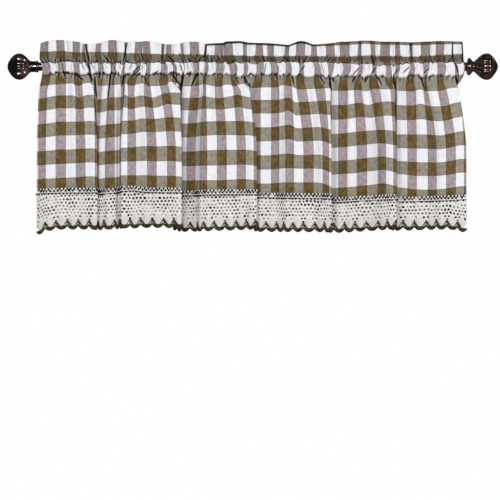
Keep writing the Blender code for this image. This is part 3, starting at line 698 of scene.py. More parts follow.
picot = {
    "perTooth": 3,
    "thick": 0.75,          # mm, radius of the white yarn
    "high": 5.2,            # mm from the tips down to the feet of the zigzag
    "over": 1.4,            # mm that the tips stand over the lace's line
    "steps": 8,             # points along each picot
    "bandAt": 6.3,          # mm from the lace's line down to the white band
    "bandThick": 1.3,
    "barsPerNotch": 4,      # white bars under each notch of the lace
    "barThick": 0.55,
}


def makePicots():                      # the white zigzag along the lace's upper edge
    count = lace["teeth"] * picot["perTooth"] * picot["steps"]
    turn = np.linspace(0, lace["teeth"], count + 1)
    top = tipHeight(turn)
    zig = 0.5 + 0.5 * np.cos(2 * math.pi * picot["perTooth"] * turn)
    tips = onLace(turn, top + picot["over"] - picot["thick"] - picot["high"] * zig ** 0.8, 1.3)
    bandLine = onLace(turn, top - picot["bandAt"], 0.5)
    tubes = [(tips, picot["thick"] * (1.35 - 0.45 * zig), 6), (bandLine, picot["bandThick"], 6)]
    rng = np.random.RandomState(21)
    for i in range(1, lace["teeth"]):
        for lean in np.linspace(-0.2, 0.2, picot["barsPerNotch"]):
            reach = 1 - 2 * abs(lean)
            at = i + lean * np.linspace(0.35, 1, 4) + rng.uniform(-0.03, 0.03)
            z = footHeight(at) + lace["notch"] - 2 - np.linspace(1.5 + 12 * abs(lean), 9, 4) * reach
            tubes.append((onLace(at, z, -0.3), picot["barThick"], 4))
    return joinTubes("lace_picots", tubes)


thread = {
    "thick": 0.6,           # mm, radius of the thread where it is thinnest
    "knot": 1.0,            # mm that its knots add
    "steps": 18,            # points across each tooth
    "dot": 2.3,             # mm, radius of the dark eyes between the picots
    "eyes": ((0.0, 1.4, 1.0), (0.5, 4.4, 1.0), (0.0, 9.3, 0.95)),     # place in a picot, mm down, size
    "eyeShape": (0.45, 0.9, 1, 0.9, 0.45),
    "eyeHigh": 1.8,         # mm, half an eye's height
    "lowEye": 8,            # mm down, the eyes below this lie closer to the lace
}


def knotted(turn):                     # some stretches of the lace are knotted (1), some plain (-1)
    return np.sin(turn * 1.1 + 2 * np.sin(turn * 0.37))


def makeThread():                      # the dark thread with knots, and its loops between the picots
    rng = np.random.RandomState(8)
    turn = np.linspace(0, lace["teeth"], lace["teeth"] * thread["steps"] + 1)
    top = tipHeight(turn)
    beads = np.maximum(0, np.cos(2 * math.pi * turn * picot["perTooth"])) ** 3
    strength = rng.uniform(0, 1.0, lace["teeth"] * picot["perTooth"] + 2)
    patch = 0.5 + 0.5 * knotted(turn)
    beads = beads * strength[np.round(turn * picot["perTooth"]).astype(int)] * patch
    line = onLace(turn, top - lace["thread"] - 0.6 * beads, 0.6)
    tubes = [(line, thread["thick"] * (0.55 + 0.6 * patch) + thread["knot"] * beads, 6)]
    for i in range(lace["teeth"] * picot["perTooth"]):
        lively = 0.6 + 0.4 * knotted(i / picot["perTooth"]) ** 2
        for place, drop, size in thread["eyes"]:
            if rng.uniform() > lively + 0.2:
                continue
            middle = (i + place + rng.uniform(-0.12, 0.12)) / picot["perTooth"]
            middle = min(max(middle, 0.02), lace["teeth"] - 0.02)
            at = middle + np.linspace(-0.02, 0.02, 5) * rng.uniform(-1, 1)
            z = tipHeight(at) - drop + np.linspace(thread["eyeHigh"], -thread["eyeHigh"], 5) * size
            thick = thread["dot"] * size * rng.uniform(0.7, 1.05)
            out = 1.5 if drop < thread["lowEye"] else 0.7
            tubes.append((onLace(at, z, out), thick * np.array(thread["eyeShape"]), 8))
    return joinTubes("dark_thread", tubes)


cord = {
    "strand": 1.8,          # mm, radius of one strand
    "twist": (0.5, 2.3),    # mm, how far the two strands stand apart at the cusps and half way between
    "turns": 4,             # twists in each scallop
    "cuspUp": 7.4,          # mm from the edging's foot to its middle at the cusps
    "sag": 3.9,             # mm that the middle hangs lower half way between
    "points": 40,           # points along each scallop
    "leg": 0.85,            # mm, radius of the strands that climb round the notches
    "notchKnot": 1.9,       # mm, radius of the knot over each notch
    "knotShape": (0.4, 0.9, 1.2, 0.8),
    "knotDrop": (0.6, -0.8, -2.4, -4.0),    # mm over the notch, from the knot's top to its foot
    "shortEnds": (6.5, 8.6),            # mm under the notch, short ends that cross it
    "shortThick": 0.5,
}


def makeEdging():
    rng = np.random.RandomState(3)
    count = lace["teeth"] * cord["points"]
    turn = np.linspace(0, lace["teeth"], count + 1)
    place = turn % 1
    bow = 1 - np.abs(2 * place - 1) ** 2.2
    near, far = cord["twist"]
    apart = near + (far - near) * np.sin(math.pi * place)
    path = onLace(turn, footHeight(turn) + cord["cuspUp"] - cord["sag"] * bow, 0)
    tubes = []
    for start in (0, math.pi):
        angle = 2 * math.pi * cord["turns"] * turn + start
        strand = path + np.stack((0 * angle, np.sin(angle) * apart * 0.8, np.cos(angle) * apart), axis=-1)
        tubes.append((strand, cord["strand"] * (0.5 + 0.58 * np.sin(math.pi * place) ** 0.6), 7))
    for i in range(1, lace["teeth"]):
        for side in (-1, 1):
            t = np.linspace(0, 1, 9)
            reach = (0.33 + rng.uniform(-0.04, 0.04)) * t
            at = i + side * reach
            z = footHeight(at) + lace["notch"] + 0.4 - 9.6 * t
            thick = cord["leg"] * (1.7 if side > 0 else 0.9) * (1 + 0.25 * np.cos(t * 22))
            tubes.append((onLace(at, z, 0.5), thick, 6))
            tubes.append((onLace(i + side * reach * 0.5, z - 1.6, 0.3), thick * 0.55, 5))
        at = i + np.linspace(-0.03, 0.03, len(cord["knotDrop"]))
        z = footHeight(at) + lace["notch"] + np.array(cord["knotDrop"])
        tubes.append((onLace(at, z, 0.6), np.array(cord["knotShape"]) * cord["notchKnot"], 7))
        for drop in cord["shortEnds"]:
            at = i + np.linspace(-0.16, 0.16, 5) + rng.uniform(-0.05, 0.05)
            z = footHeight(at) + lace["notch"] - drop + rng.uniform(-0.8, 0.8, 5)
            tubes.append((onLace(at, z, 0.1), cord["shortThick"] * rng.uniform(0.7, 1.2), 5))
    return joinTubes("edging_cord", tubes)


finial = {
    "lobes": 12,
    "aroundLobe": 4,        # lines of the mesh round each lobe
    "pressed": 0.84,        # how far the grooves between the lobes are pressed in
    "smooth": 2,            # times that the mesh is subdivided
    # Distance from the rod's end and radius (mm). The left one has a plain neck, the right one a collar.
    "left": (
        (-0.4, 7.9), (0.0, 8.5), (0.3, 8.7), (0.7, 10.6), (1.2, 11.2), (2.8, 11.2), (3.3, 10.7), (4.0, 10.2),
        (8.0, 10.0), (12.8, 10.2),
    ),
    "right": (
        (-0.4, 7.9), (0.0, 8.5), (0.3, 8.8), (0.9, 11.4), (1.8, 14.2), (3.4, 15.8), (5.3, 16.3), (7.3, 15.7),
        (9.2, 13.6), (10.8, 11.2), (12.2, 9.5), (13.2, 9.3),
    ),
    "leftBall": (
        (15.0, 10.2), (18.0, 13.2), (22.2, 18.2), (26.5, 22.0), (31.0, 24.2), (35.0, 24.8), (39.5, 24.3),
        (43.5, 22.6), (47.5, 19.6), (51.0, 15.6), (54.2, 10.6), (56.2, 6.6), (57.1, 3.6), (57.3, 0.4),
    ),
    "rightBall": (
        (15.0, 10.2), (18.0, 12.6), (22.2, 16.8), (26.5, 20.6), (31.0, 23.3), (37.6, 24.8), (42.0, 24.1),
        (46.0, 21.6), (50.0, 17.2), (53.2, 12.8), (55.8, 8.6), (57.4, 5.2), (58.2, 2.6), (58.3, 0.4),
    ),
    "grooved": (17.0, 55.9),            # the lobes run between these distances
    "inFront": {"left": 0, "right": 2}, # line of the mesh round a lobe that is pressed in, 0 faces the room
}


def makeFinial(side):
    node = "finial_" + side
    out = 1 if side == "right" else -1
    low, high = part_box(node)
    start = low[0] if out > 0 else high[0]         # where it meets the rod
    outline = finial[side] + finial[side + "Ball"]
    lines = finial["lobes"] * finial["aroundLobe"]
    bpy.ops.object.select_all(action="DESELECT")
    bpy.ops.mesh.primitive_circle_add(vertices=lines, radius=outline[0][1] * mm, fill_type="NGON",
                                      location=(start + out * outline[0][0] * mm, 0, 0),
                                      rotation=(0, math.pi / 2, 0))
    obj = bpy.context.object
    obj.name = "finial_ball_" + side
    bpy.ops.object.transform_apply(location=True, rotation=True, scale=True)
    bpy.ops.object.mode_set(mode="EDIT")
    bpy.ops.mesh.select_all(action="SELECT")
    for (along, radius), (nextAlong, nextRadius) in zip(outline[:-1], outline[1:]):
        step = (out * (nextAlong - along) * mm, 0, 0)
        bpy.ops.mesh.extrude_region_move(TRANSFORM_OT_translate={"value": step})
        ratio = nextRadius / radius
        bpy.ops.transform.resize(value=(1, ratio, ratio), center_override=(0, 0, 0))
    bpy.ops.mesh.select_all(action="DESELECT")
    bpy.ops.object.mode_set(mode="OBJECT")
    for v in obj.data.vertices:
        along = out * (v.co.x - start) / mm
        line = round(math.atan2(v.co.z, -v.co.y) / (2 * math.pi) * lines)
        grooved = line % finial["aroundLobe"] == finial["inFront"][side]
        v.select = grooved and finial["grooved"][0] < along < finial["grooved"][1]
    bpy.ops.object.mode_set(mode="EDIT")
    bpy.ops.transform.resize(value=(1, finial["pressed"], finial["pressed"]), center_override=(0, 0, 0))
    bpy.ops.mesh.select_all(action="SELECT")
    bpy.ops.mesh.normals_make_consistent(inside=False)
    bpy.ops.object.mode_set(mode="OBJECT")
    smooth = obj.modifiers.new("smooth", "SUBSURF")
    smooth.levels = smooth.render_levels = finial["smooth"]
    bpy.ops.object.modifier_apply(modifier="smooth")
    bpy.ops.object.shade_smooth()
    return obj


def linear(code):                      # an sRGB hex colour as linear values
    parts = [int(code[i:i + 2], 16) / 255 for i in (1, 3, 5)]
    return tuple(c / 12.92 if c <= 0.04045 else ((c + 0.055) / 1.055) ** 2.4 for c in parts) + (1,)


def setInputs(mat, node, inputs):      # each is another node's output, a colour or a value
    for key, value in inputs.items():
        if isinstance(value, bpy.types.NodeSocket):
            mat.node_tree.links.new(value, node.inputs[key])
        elif isinstance(value, str):
            node.inputs[key].default_value = linear(value)
        else:
            node.inputs[key].default_value = value


def addNode(mat, kind, inputs, out=0, **settings):     # one node with its settings and inputs
    node = mat.node_tree.nodes.new(kind)
    for key, value in settings.items():
        setattr(node, key, value)
    setInputs(mat, node, inputs)
    return node.outputs[out]


def newMaterial(name):
    mat = bpy.data.materials.new(name)
    mat.use_nodes = True
    return mat, mat.node_tree.nodes["Principled BSDF"]


sums, mix, ramp, clouds = "ShaderNodeMath", "ShaderNodeMix", "ShaderNodeMapRange", "ShaderNodeTexNoise"
rgba = {"out": 2, "data_type": "RGBA"}     # for a mix of colours
dull = 0.2                                 # specular level of all yarns

ginghamLook = {
    "white": "#F3F3F8", "brown": "#61522F",
    "brownWarm": "#7F6641",             # warmer patches of the brown
    "brownWarp": "#ACA1A9", "brownWeft": "#9C978F",     # half tones, the brown yarns upright or level
    "paintedShadeTone": "#120D0A", "paintedShadeMost": 0.93,        # painted shade, deep in the pulls and folds
    "doubleAndShadeTone": "#4A3C2C", "double": (0.23, 0.055),   # a second layer shows through brown by the sum, with painted shade
    "seamReach": 0.35,      # of a check, how far down the painted shade under the seams reaches at a gather
    "litTone": "#F4F2F0", "litShare": 0.5,      # painted highlight on the cloth that stands up beside a pull
    "tints": ("#FEF0EA", "#EFF7F1"),    # the dyed yarns lean to pink in places and to green in others
    "heather": (0.46, 0.08),            # how mottled brown and half tones are by the sum, and white
    "threads": (24, 30),    # pairs across and down a check, 0.8 mm each, coarser than real ones to show
    "colEdge": (0.06, 0.22),            # denser yarn at a stripe's edge: 1 to 2 mm of a check, and how dark
    "rowEdge": (0.075, 0.34),
    "slub": ((34.0, 1.6), (1.6, 42.0)), # yarns uneven along the warp and the weft: 0.6 mm wide, 16 mm long
}


def ginghamMaterial():
    look = ginghamLook
    mat, shader = newMaterial("plain woven cotton gingham")    # dull and soft, yarns mix in the half tones
    uv = addNode(mat, "ShaderNodeUVMap", {}, uv_map="weave")
    across = addNode(mat, "ShaderNodeSeparateXYZ", {0: uv}, out=0)
    down = addNode(mat, "ShaderNodeSeparateXYZ", {0: uv}, out=1)
    down = addNode(mat, sums, {0: down, 1: 100.0}, operation="ADD")     # so that no row is negative
    # both ways: brown where the count is odd, with denser yarn at the stripe's edges, and the threads
    stripes = []
    stripeEdges = (look["colEdge"], look["rowEdge"])
    for count, (wide, dense), pairs in zip((across, down), stripeEdges, look["threads"]):
        odd = addNode(mat, sums, {0: count, 1: 2.0}, operation="MODULO")
        odd = addNode(mat, sums, {0: odd, 1: 1.0}, operation="GREATER_THAN")
        fromEdge = addNode(mat, sums, {0: count, 1: 0.5}, operation="PINGPONG")
        edge = addNode(mat, ramp, {0: fromEdge, 1: 0.0, 2: wide, 3: dense, 4: 0.0})
        edge = addNode(mat, sums, {0: edge, 1: odd}, operation="MULTIPLY")
        yarn = addNode(mat, sums, {0: count, 1: 2 * math.pi * pairs}, operation="MULTIPLY")
        yarn = addNode(mat, sums, {0: yarn}, operation="SINE")
        stripes.append((odd, fromEdge, edge, yarn))
    (brownCol, _, colEdge, warp), (brownRow, fromRow, rowEdge, weft) = stripes
    cloudy = addNode(mat, clouds, {"Vector": uv, "Scale": 2.0, "Detail": 3.0, "Roughness": 0.7})
    warmer = addNode(mat, ramp, {0: cloudy, 1: 0.42, 2: 0.66})
    brown = addNode(mat, mix, {0: warmer, 6: look["brown"], 7: look["brownWarm"]}, **rgba)
    whiteRow = addNode(mat, mix, {0: brownCol, 6: look["white"], 7: look["brownWarp"]}, **rgba)
    darkRow = addNode(mat, mix, {0: brownCol, 6: look["brownWeft"], 7: brown}, **rgba)
    checks = addNode(mat, mix, {0: brownRow, 6: whiteRow, 7: darkRow}, **rgba)
    edges = addNode(mat, sums, {0: rowEdge, 1: colEdge}, operation="MAXIMUM")
    # the threads, over and under, plainest where both are of one colour
    weave = addNode(mat, sums, {0: warp, 1: weft}, operation="MULTIPLY")
    halfTone = addNode(mat, sums, {0: brownCol, 1: brownRow}, operation="SUBTRACT")
    halfTone = addNode(mat, sums, {0: halfTone}, operation="ABSOLUTE")
    strength = addNode(mat, sums, {0: halfTone, 1: 0.12, 2: 0.05}, operation="MULTIPLY_ADD")
    light = addNode(mat, sums, {0: weave, 1: strength, 2: 1.0}, operation="MULTIPLY_ADD")
    # uneven dye, heathered where there is brown, and slubby yarns
    heather = addNode(mat, clouds, {"Vector": uv, "Scale": 3.6, "Detail": 4.0, "Roughness": 0.75})
    heather = addNode(mat, ramp, {0: heather, 1: 0.35, 2: 0.65, 3: -0.5, 4: 0.5})
    isBrown = addNode(mat, sums, {0: brownCol, 1: brownRow}, operation="MAXIMUM")
    more, least = look["heather"]
    spread = addNode(mat, sums, {0: isBrown, 1: more, 2: least}, operation="MULTIPLY_ADD")
    heather = addNode(mat, sums, {0: heather, 1: spread, 2: 1.0}, operation="MULTIPLY_ADD")
    light = addNode(mat, sums, {0: light, 1: heather}, operation="MULTIPLY")
    for stretch in look["slub"]:
        long = addNode(mat, "ShaderNodeMapping", {0: uv, 3: (*stretch, 1.0)})
        streak = addNode(mat, clouds, {"Vector": long, "Scale": 1.0, "Detail": 2.0})
        streak = addNode(mat, sums, {0: streak, 1: 0.34, 2: 0.83}, operation="MULTIPLY_ADD")
        light = addNode(mat, sums, {0: light, 1: streak}, operation="MULTIPLY")
    pink, green = look["tints"]
    tint = addNode(mat, clouds, {"Vector": uv, "Scale": 1.2, "Detail": 3.0, "Roughness": 0.6})
    tint = addNode(mat, ramp, {0: tint, 1: 0.4, 2: 0.6})
    tint = addNode(mat, mix, {0: tint, 6: pink, 7: green}, **rgba)
    checks = addNode(mat, mix, {0: isBrown, 6: checks, 7: tint}, blend_type="MULTIPLY", **rgba)
    edges = addNode(mat, sums, {0: 1.0, 1: edges}, operation="SUBTRACT")
    light = addNode(mat, sums, {0: light, 1: edges}, operation="MULTIPLY")
    grey = addNode(mat, "ShaderNodeCombineColor", {0: light, 1: light, 2: light})
    woven = addNode(mat, mix, {0: 1.0, 6: checks, 7: grey}, blend_type="MULTIPLY", **rgba)
    # the second layer of the heading, partly painted shade, then painted shade in pulls, folds and under the
    # seams
    double, paintedShade, seamShade, lit = (addNode(mat, "ShaderNodeAttribute", {}, out=2, attribute_name=name)
                                     for name in ("double", "paintedShade", "seamShade", "lit"))
    more, least = look["double"]
    # where the cloth is double: the second layer showing through, and painted shade
    through = addNode(mat, sums, {0: isBrown, 1: more, 2: least}, operation="MULTIPLY_ADD")
    through = addNode(mat, sums, {0: through, 1: double}, operation="MULTIPLY")
    lined = addNode(mat, mix, {0: through, 6: woven, 7: look["doubleAndShadeTone"]}, **rgba)
    paintedShade = addNode(mat, sums, {0: paintedShade, 1: 1.8}, operation="POWER")
    # painted shade under the seams, on the brown row there
    underSeamShade = addNode(mat, sums, {0: seamShade, 1: look["seamReach"]}, operation="MULTIPLY")
    underSeamShade = addNode(mat, sums, {0: underSeamShade, 1: fromRow}, operation="SUBTRACT")
    underSeamShade = addNode(mat, ramp, {0: underSeamShade, 1: -0.02, 2: 0.05})
    underSeamShade = addNode(mat, sums, {0: underSeamShade, 1: brownRow}, operation="MULTIPLY")
    dark = addNode(mat, sums, {0: paintedShade, 1: underSeamShade}, operation="MAXIMUM")
    dark = addNode(mat, sums, {0: dark, 1: look["paintedShadeMost"]}, operation="MULTIPLY")
    # painted highlight beside the pulls
    lit = addNode(mat, sums, {0: lit, 1: look["litShare"]}, operation="MULTIPLY")
    lined = addNode(mat, mix, {0: lit, 6: lined, 7: look["litTone"]}, **rgba)
    colour = addNode(mat, mix, {0: dark, 6: lined, 7: look["paintedShadeTone"]}, **rgba)
    bump = addNode(mat, "ShaderNodeBump", {"Strength": 0.25, "Distance": 0.0004, "Height": weave})
    setInputs(mat, shader, {"Base Color": colour, "Normal": bump, "Roughness": 0.92,
                            "Specular IOR Level": dull})
    return mat


laceLook = {
    # the holes are painted dark with the shade seen through them
    "cream": "#FFFDFA", "shade": "#D6CFCA", "hole": "#120E0C",
    "holeSize": 0.19,       # least radius, of the space between two holes, so that most are 2.5 to 3 mm wide
    "holeVary": 0.1, "holeLoose": 0.07,     # what chance and a more open stretch add to it
    "wander": (0.6, 1.0, 0.0),          # in holes and rows of holes, how far they stray from straight rows
    "tooth": "#96938F", "toothHigh": 1.5,   # the teeth reach so many rows of holes over the notches
    "stitch": 4.6,          # crochet stitches between two holes, 1.4 mm each
}


def laceMaterial():
    look = laceLook
    mat, shader = newMaterial("crocheted cotton lace")     # matt, knotty, round holes painted dark with shade
    uv = addNode(mat, "ShaderNodeUVMap", {}, uv_map="weave")
    wander = addNode(mat, clouds, {"Vector": uv, "Scale": 0.45, "Detail": 2.0}, out=1)
    wander = addNode(mat, "ShaderNodeVectorMath", {0: wander, 1: (0.5, 0.5, 0.5)}, operation="SUBTRACT")
    wander = addNode(mat, "ShaderNodeVectorMath", {0: wander, 1: look["wander"]}, operation="MULTIPLY")
    pulled = addNode(mat, "ShaderNodeVectorMath", {0: uv, 1: wander}, operation="ADD")
    uvAcross = addNode(mat, "ShaderNodeSeparateXYZ", {0: pulled}, out=0)
    uvDown = addNode(mat, "ShaderNodeSeparateXYZ", {0: pulled}, out=1)
    row = addNode(mat, sums, {0: uvDown, 1: 0.85}, operation="SUBTRACT")
    # rows of holes, each row half a hole to the side of the next
    rowNumber = addNode(mat, sums, {0: row}, operation="FLOOR")
    shift = addNode(mat, sums, {0: rowNumber, 1: 50.0}, operation="ADD")
    shift = addNode(mat, sums, {0: shift, 1: 2.0}, operation="MODULO")
    across = addNode(mat, sums, {0: shift, 1: 0.5, 2: uvAcross}, operation="MULTIPLY_ADD")
    holeNumber = addNode(mat, sums, {0: across}, operation="FLOOR")
    sideways = addNode(mat, sums, {0: across}, operation="FRACT")
    sideways = addNode(mat, sums, {0: sideways, 1: 0.5}, operation="SUBTRACT")
    upward = addNode(mat, sums, {0: row}, operation="FRACT")
    upward = addNode(mat, sums, {0: upward, 1: 0.5}, operation="SUBTRACT")
    middle = addNode(mat, sums, {0: shift, 1: -0.5, 2: holeNumber}, operation="MULTIPLY_ADD")
    middle = addNode(mat, sums, {0: middle, 1: 0.5}, operation="ADD")
    away = addNode(mat, "ShaderNodeCombineXYZ", {0: sideways, 1: upward})
    distance = addNode(mat, "ShaderNodeVectorMath", {0: away}, out=1, operation="LENGTH")
    # how far a point, and the middle of its hole, lie from the middle of the tooth
    fromTooth = []
    for place in (uvAcross, middle):
        place = addNode(mat, sums, {0: place, 1: 1 / lace["holesPerTooth"]}, operation="MULTIPLY")
        for operation in ("FRACT", "SUBTRACT", "ABSOLUTE"):
            place = addNode(mat, sums, {0: place, 1: 0.5}, operation=operation)
        fromTooth.append(place)
    # the teeth are plain diamonds of finer mesh that reach up between the holes
    high = look["toothHigh"]
    toothTop = addNode(mat, sums, {0: fromTooth[0], 1: -2 * high, 2: high}, operation="MULTIPLY_ADD")
    overTooth = addNode(mat, sums, {0: uvDown, 1: toothTop}, operation="SUBTRACT")
    toothLine = addNode(mat, sums, {0: overTooth}, operation="ABSOLUTE")
    toothLine = addNode(mat, ramp, {0: toothLine, 1: 0.0, 2: 0.14, 3: 0.5, 4: 0.0})
    inTooth = addNode(mat, ramp, {0: overTooth, 1: -0.1, 2: 0.05, 3: 0.2, 4: 0.0})
    # no two holes are the same, and some stretches of the lace are more open
    cell = addNode(mat, "ShaderNodeCombineXYZ", {0: holeNumber, 1: rowNumber})
    chance = addNode(mat, "ShaderNodeTexWhiteNoise", {"Vector": cell}, noise_dimensions="2D")
    cloudy = addNode(mat, clouds, {"Vector": uv, "Scale": 0.22, "Detail": 1.0})
    loose = addNode(mat, ramp, {0: cloudy, 1: 0.35, 2: 0.65})
    size = addNode(mat, sums, {0: chance, 1: look["holeVary"], 2: look["holeSize"]}, operation="MULTIPLY_ADD")
    size = addNode(mat, sums, {0: loose, 1: look["holeLoose"], 2: size}, operation="MULTIPLY_ADD")
    past = addNode(mat, sums, {0: distance, 1: size}, operation="SUBTRACT")
    hole = addNode(mat, ramp, {0: past, 1: -0.09, 2: 0.06, 3: 1.0, 4: 0.0})
    # none above the dark thread, none in the teeth
    fromTop = addNode(mat, "ShaderNodeAttribute", {}, out=2, attribute_name="fromTop")
    middleDown = addNode(mat, sums, {0: upward, 1: lace["holePitch"], 2: fromTop}, operation="MULTIPLY_ADD")
    below = addNode(mat, sums, {0: middleDown, 1: lace["thread"] + 3.6}, operation="GREATER_THAN")
    limit = addNode(mat, sums, {0: fromTooth[1], 1: -2 * high, 2: high - 1.25}, operation="MULTIPLY_ADD")
    above = addNode(mat, sums, {0: rowNumber, 1: limit}, operation="GREATER_THAN")
    hole = addNode(mat, sums, {0: hole, 1: below}, operation="MULTIPLY")
    hole = addNode(mat, sums, {0: hole, 1: above}, operation="MULTIPLY")
    # how dark each hole's painted shade is
    depth = addNode(mat, sums, {0: chance, 1: 0.3, 2: 0.5}, operation="MULTIPLY_ADD")
    depth = addNode(mat, sums, {0: loose, 1: 0.45, 2: depth}, operation="MULTIPLY_ADD")
    dark = addNode(mat, sums, {0: hole, 1: depth}, operation="MULTIPLY")
    noise = addNode(mat, clouds, {"Vector": uv, "Scale": 2.6, "Detail": 5.0, "Roughness": 0.7})
    noise = addNode(mat, ramp, {0: noise, 1: 0.35, 2: 0.7})
    base = addNode(mat, mix, {0: noise, 6: look["cream"], 7: look["shade"]}, **rgba)
    toothShade = addNode(mat, sums, {0: inTooth, 1: toothLine}, operation="MAXIMUM")
    base = addNode(mat, mix, {0: toothShade, 6: base, 7: look["tooth"]}, **rgba)
    colour = addNode(mat, mix, {0: dark, 6: base, 7: look["hole"]}, **rgba)
    # a raised ring of stitches round each hole, small knots elsewhere
    ring = addNode(mat, sums, {0: distance, 1: 0.4}, operation="SUBTRACT")
    ring = addNode(mat, sums, {0: ring}, operation="ABSOLUTE")
    ring = addNode(mat, ramp, {0: ring, 1: 0.0, 2: 0.13, 3: 1.0, 4: 0.0})
    knots = addNode(mat, "ShaderNodeTexVoronoi", {"Vector": uv, "Scale": look["stitch"]})
    knots = addNode(mat, sums, {0: knots, 1: -0.9, 2: 0.9}, operation="MULTIPLY_ADD")
    height = addNode(mat, sums, {0: ring, 1: 0.5, 2: knots}, operation="MULTIPLY_ADD")
    height = addNode(mat, sums, {0: hole, 1: -1.5, 2: height}, operation="MULTIPLY_ADD")
    bump = addNode(mat, "ShaderNodeBump", {"Strength": 0.8, "Distance": 0.0008, "Height": height})
    setInputs(mat, shader, {"Base Color": colour, "Normal": bump, "Roughness": 0.9,
                            "Specular IOR Level": dull})
    return mat


yarns = {
    # real name, two tones, noise scale for each metre: 700 gives streaks of 1.4 mm, as wide as a plied strand
    "white": ("cream cotton crochet yarn", "#FFFFFF", "#F1EEE8", 700.0),    # matt, bright, barely streaked
    "thread": ("dark brown crochet thread", "#241F20", "#080606", 700.0),   # matt, nearly black
    "cord": ("dark olive cotton chain cord", "#574E28", "#090703", 330.0),  # matt, light and dark olive
}


def yarnMaterial(kind):                # twisted yarn, fine streaks between two tones
    name, light, dark, streak = yarns[kind]
    mat, shader = newMaterial(name)
    place = addNode(mat, "ShaderNodeTexCoord", {}, out=3)
    noise = addNode(mat, clouds, {"Vector": place, "Scale": streak, "Detail": 3.0})
    noise = addNode(mat, ramp, {0: noise, 1: 0.36, 2: 0.64})
    tone = addNode(mat, mix, {0: noise, 6: dark, 7: light}, **rgba)
    bump = addNode(mat, "ShaderNodeBump", {"Strength": 0.5, "Distance": 0.0005, "Height": noise})
    setInputs(mat, shader, {"Base Color": tone, "Normal": bump, "Roughness": 0.88,
                            "Specular IOR Level": dull})
    return mat


bronzeLook = {
    "dark": "#090404", "worn": "#5A3822", "patches": 60.0,       # worn patches about 17 mm across
    "roughness": (0.14, 0.22),
    "coat": 1.0, "coatRough": 0.17, "coatBend": 2.0,
}


def bronzeMaterial():
    look = bronzeLook
    mat, shader = newMaterial("oil-rubbed bronze lacquer on cast resin")    # nearly black, sharp highlights
    place = addNode(mat, "ShaderNodeTexCoord", {}, out=3)
    noise = addNode(mat, clouds, {"Vector": place, "Scale": look["patches"], "Detail": 4.0})
    worn = addNode(mat, ramp, {0: noise, 1: 0.42, 2: 0.72})
    tone = addNode(mat, mix, {0: worn, 6: look["dark"], 7: look["worn"]}, **rgba)
    low, high = look["roughness"]
    rough = addNode(mat, ramp, {0: noise, 3: low, 4: high})
    setInputs(mat, shader, {"Base Color": tone, "Roughness": rough, "Specular IOR Level": 0.5,
                            "Coat Weight": look["coat"], "Coat Roughness": look["coatRough"],
                            "Coat IOR": look["coatBend"]})
    return mat


def dress(obj, mat, slot, *nodes):     # material, a record slot that is not used, and the solid that it stands for
    obj.data.materials.clear()
    obj.data.materials.append(mat)
    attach(obj, "root")
    if nodes:
        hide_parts(*nodes)


# camera and light
photo = {"scale": 1.83, "axisX": 252.5, "rodY": 66.6, "size": 500}     # mm to a pixel, pixel of mid rod
studio = {
    "distance": 8.0, "floor": -1.25,    # m from the rod to the camera, and down to the floor
    "sensor": 36.0,
    "white": (1, 1, 1, 1),
    "ambient": 0.40,        # the white room as cloth sees it
    "reflected": 0.03,      # and as gloss mirrors it: dark, so that only the lamps glint
    # name, place, width and height (m), power (W)
    "lamps": (("soft", (0.3, -4.6, 0.7), 2.4, 1.6, 30), ("key", (-0.8, -2.9, 0.35), 0.5, 0.36, 30),
              ("rim", (3.1, -2.1, 0.3), 0.5, 0.42, 34), ("back", (-0.4, 4.6, 0.9), 2.4, 1.6, 24)),
    "aim": (0, 0, -0.12),   # what the lamps point at
}


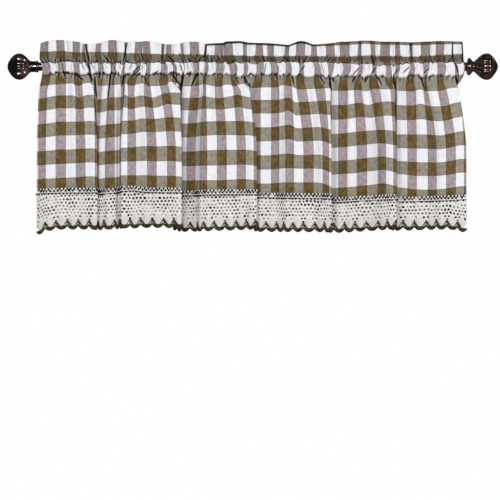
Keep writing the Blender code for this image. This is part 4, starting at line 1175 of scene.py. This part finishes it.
def makeStudio():
    centreX = (photo["size"] / 2 - photo["axisX"]) * photo["scale"] * mm
    centreZ = (photo["rodY"] - photo["size"] / 2) * photo["scale"] * mm
    wide = photo["size"] * photo["scale"] * mm
    camData = bpy.data.cameras.new("camera")
    camData.sensor_width = studio["sensor"]
    camData.lens = studio["sensor"] * studio["distance"] / wide
    cam = addObject("camera", camData)
    cam.location = (centreX, -studio["distance"], centreZ)
    cam.rotation_euler = (math.pi / 2, 0, 0)
    bpy.context.scene.camera = cam

    world = bpy.data.worlds.new("white studio")
    world.use_nodes = True
    seen = world.node_tree.nodes["Background"]
    seen.inputs[0].default_value = studio["white"]
    path = addNode(world, "ShaderNodeLightPath", {}).node
    glossy, fromCamera = path.outputs["Is Glossy Ray"], path.outputs["Is Camera Ray"]
    bright = addNode(world, mix, {0: glossy, 2: studio["ambient"], 3: studio["reflected"]})
    room = addNode(world, "ShaderNodeBackground", {0: studio["white"], 1: bright})
    mixed = addNode(world, "ShaderNodeMixShader", {0: fromCamera, 1: room, 2: seen.outputs[0]})
    setInputs(world, world.node_tree.nodes["World Output"], {0: mixed})
    bpy.context.scene.world = world
    bpy.context.scene.view_settings.view_transform = "Standard"

    for name, place, width, height, power in studio["lamps"]:
        light = bpy.data.lights.new(name, "AREA")
        light.shape = "RECTANGLE"
        light.size, light.size_y = width, height
        light.energy = power
        lamp = addObject(name, light)
        lamp.location = place
        aim = Vector(studio["aim"]) - Vector(place)
        lamp.rotation_euler = aim.to_track_quat("-Z", "Y").to_euler()

    bpy.ops.mesh.primitive_plane_add(size=6, location=(0, 0, studio["floor"]))
    floor = bpy.context.object
    floor.name = "floor"
    mat, shader = newMaterial("pale matt floor")
    setInputs(mat, shader, {"Base Color": "#DCDAD6", "Roughness": 0.8})
    floor.data.materials.append(mat)
    floor.visible_glossy = False        # the finials mirror only the lamps


makeStudio()
print("studio ready")

gingham = makeGingham()
dress(gingham, ginghamMaterial(), "gingham", "gingham_cloth")
print("gingham ready", len(gingham.data.polygons))

laceSheet = makeLace()
dress(laceSheet, laceMaterial(), "lace", "lace_band")
picots = makePicots()
dress(picots, yarnMaterial("white"), "lace", "lace_band")
darkThread = makeThread()
dress(darkThread, yarnMaterial("thread"), "cord", "lace_band")
edgingCord = makeEdging()
dress(edgingCord, yarnMaterial("cord"), "cord", "edging")
print("lace and edging ready", len(edgingCord.data.polygons))

bronze = bronzeMaterial()
for side in ("left", "right"):
    dress(makeFinial(side), bronze, "bronze", "finial_" + side)
for slot in bpy.data.objects["rod"].material_slots:
    slot.material = bronze
print("hardware ready")
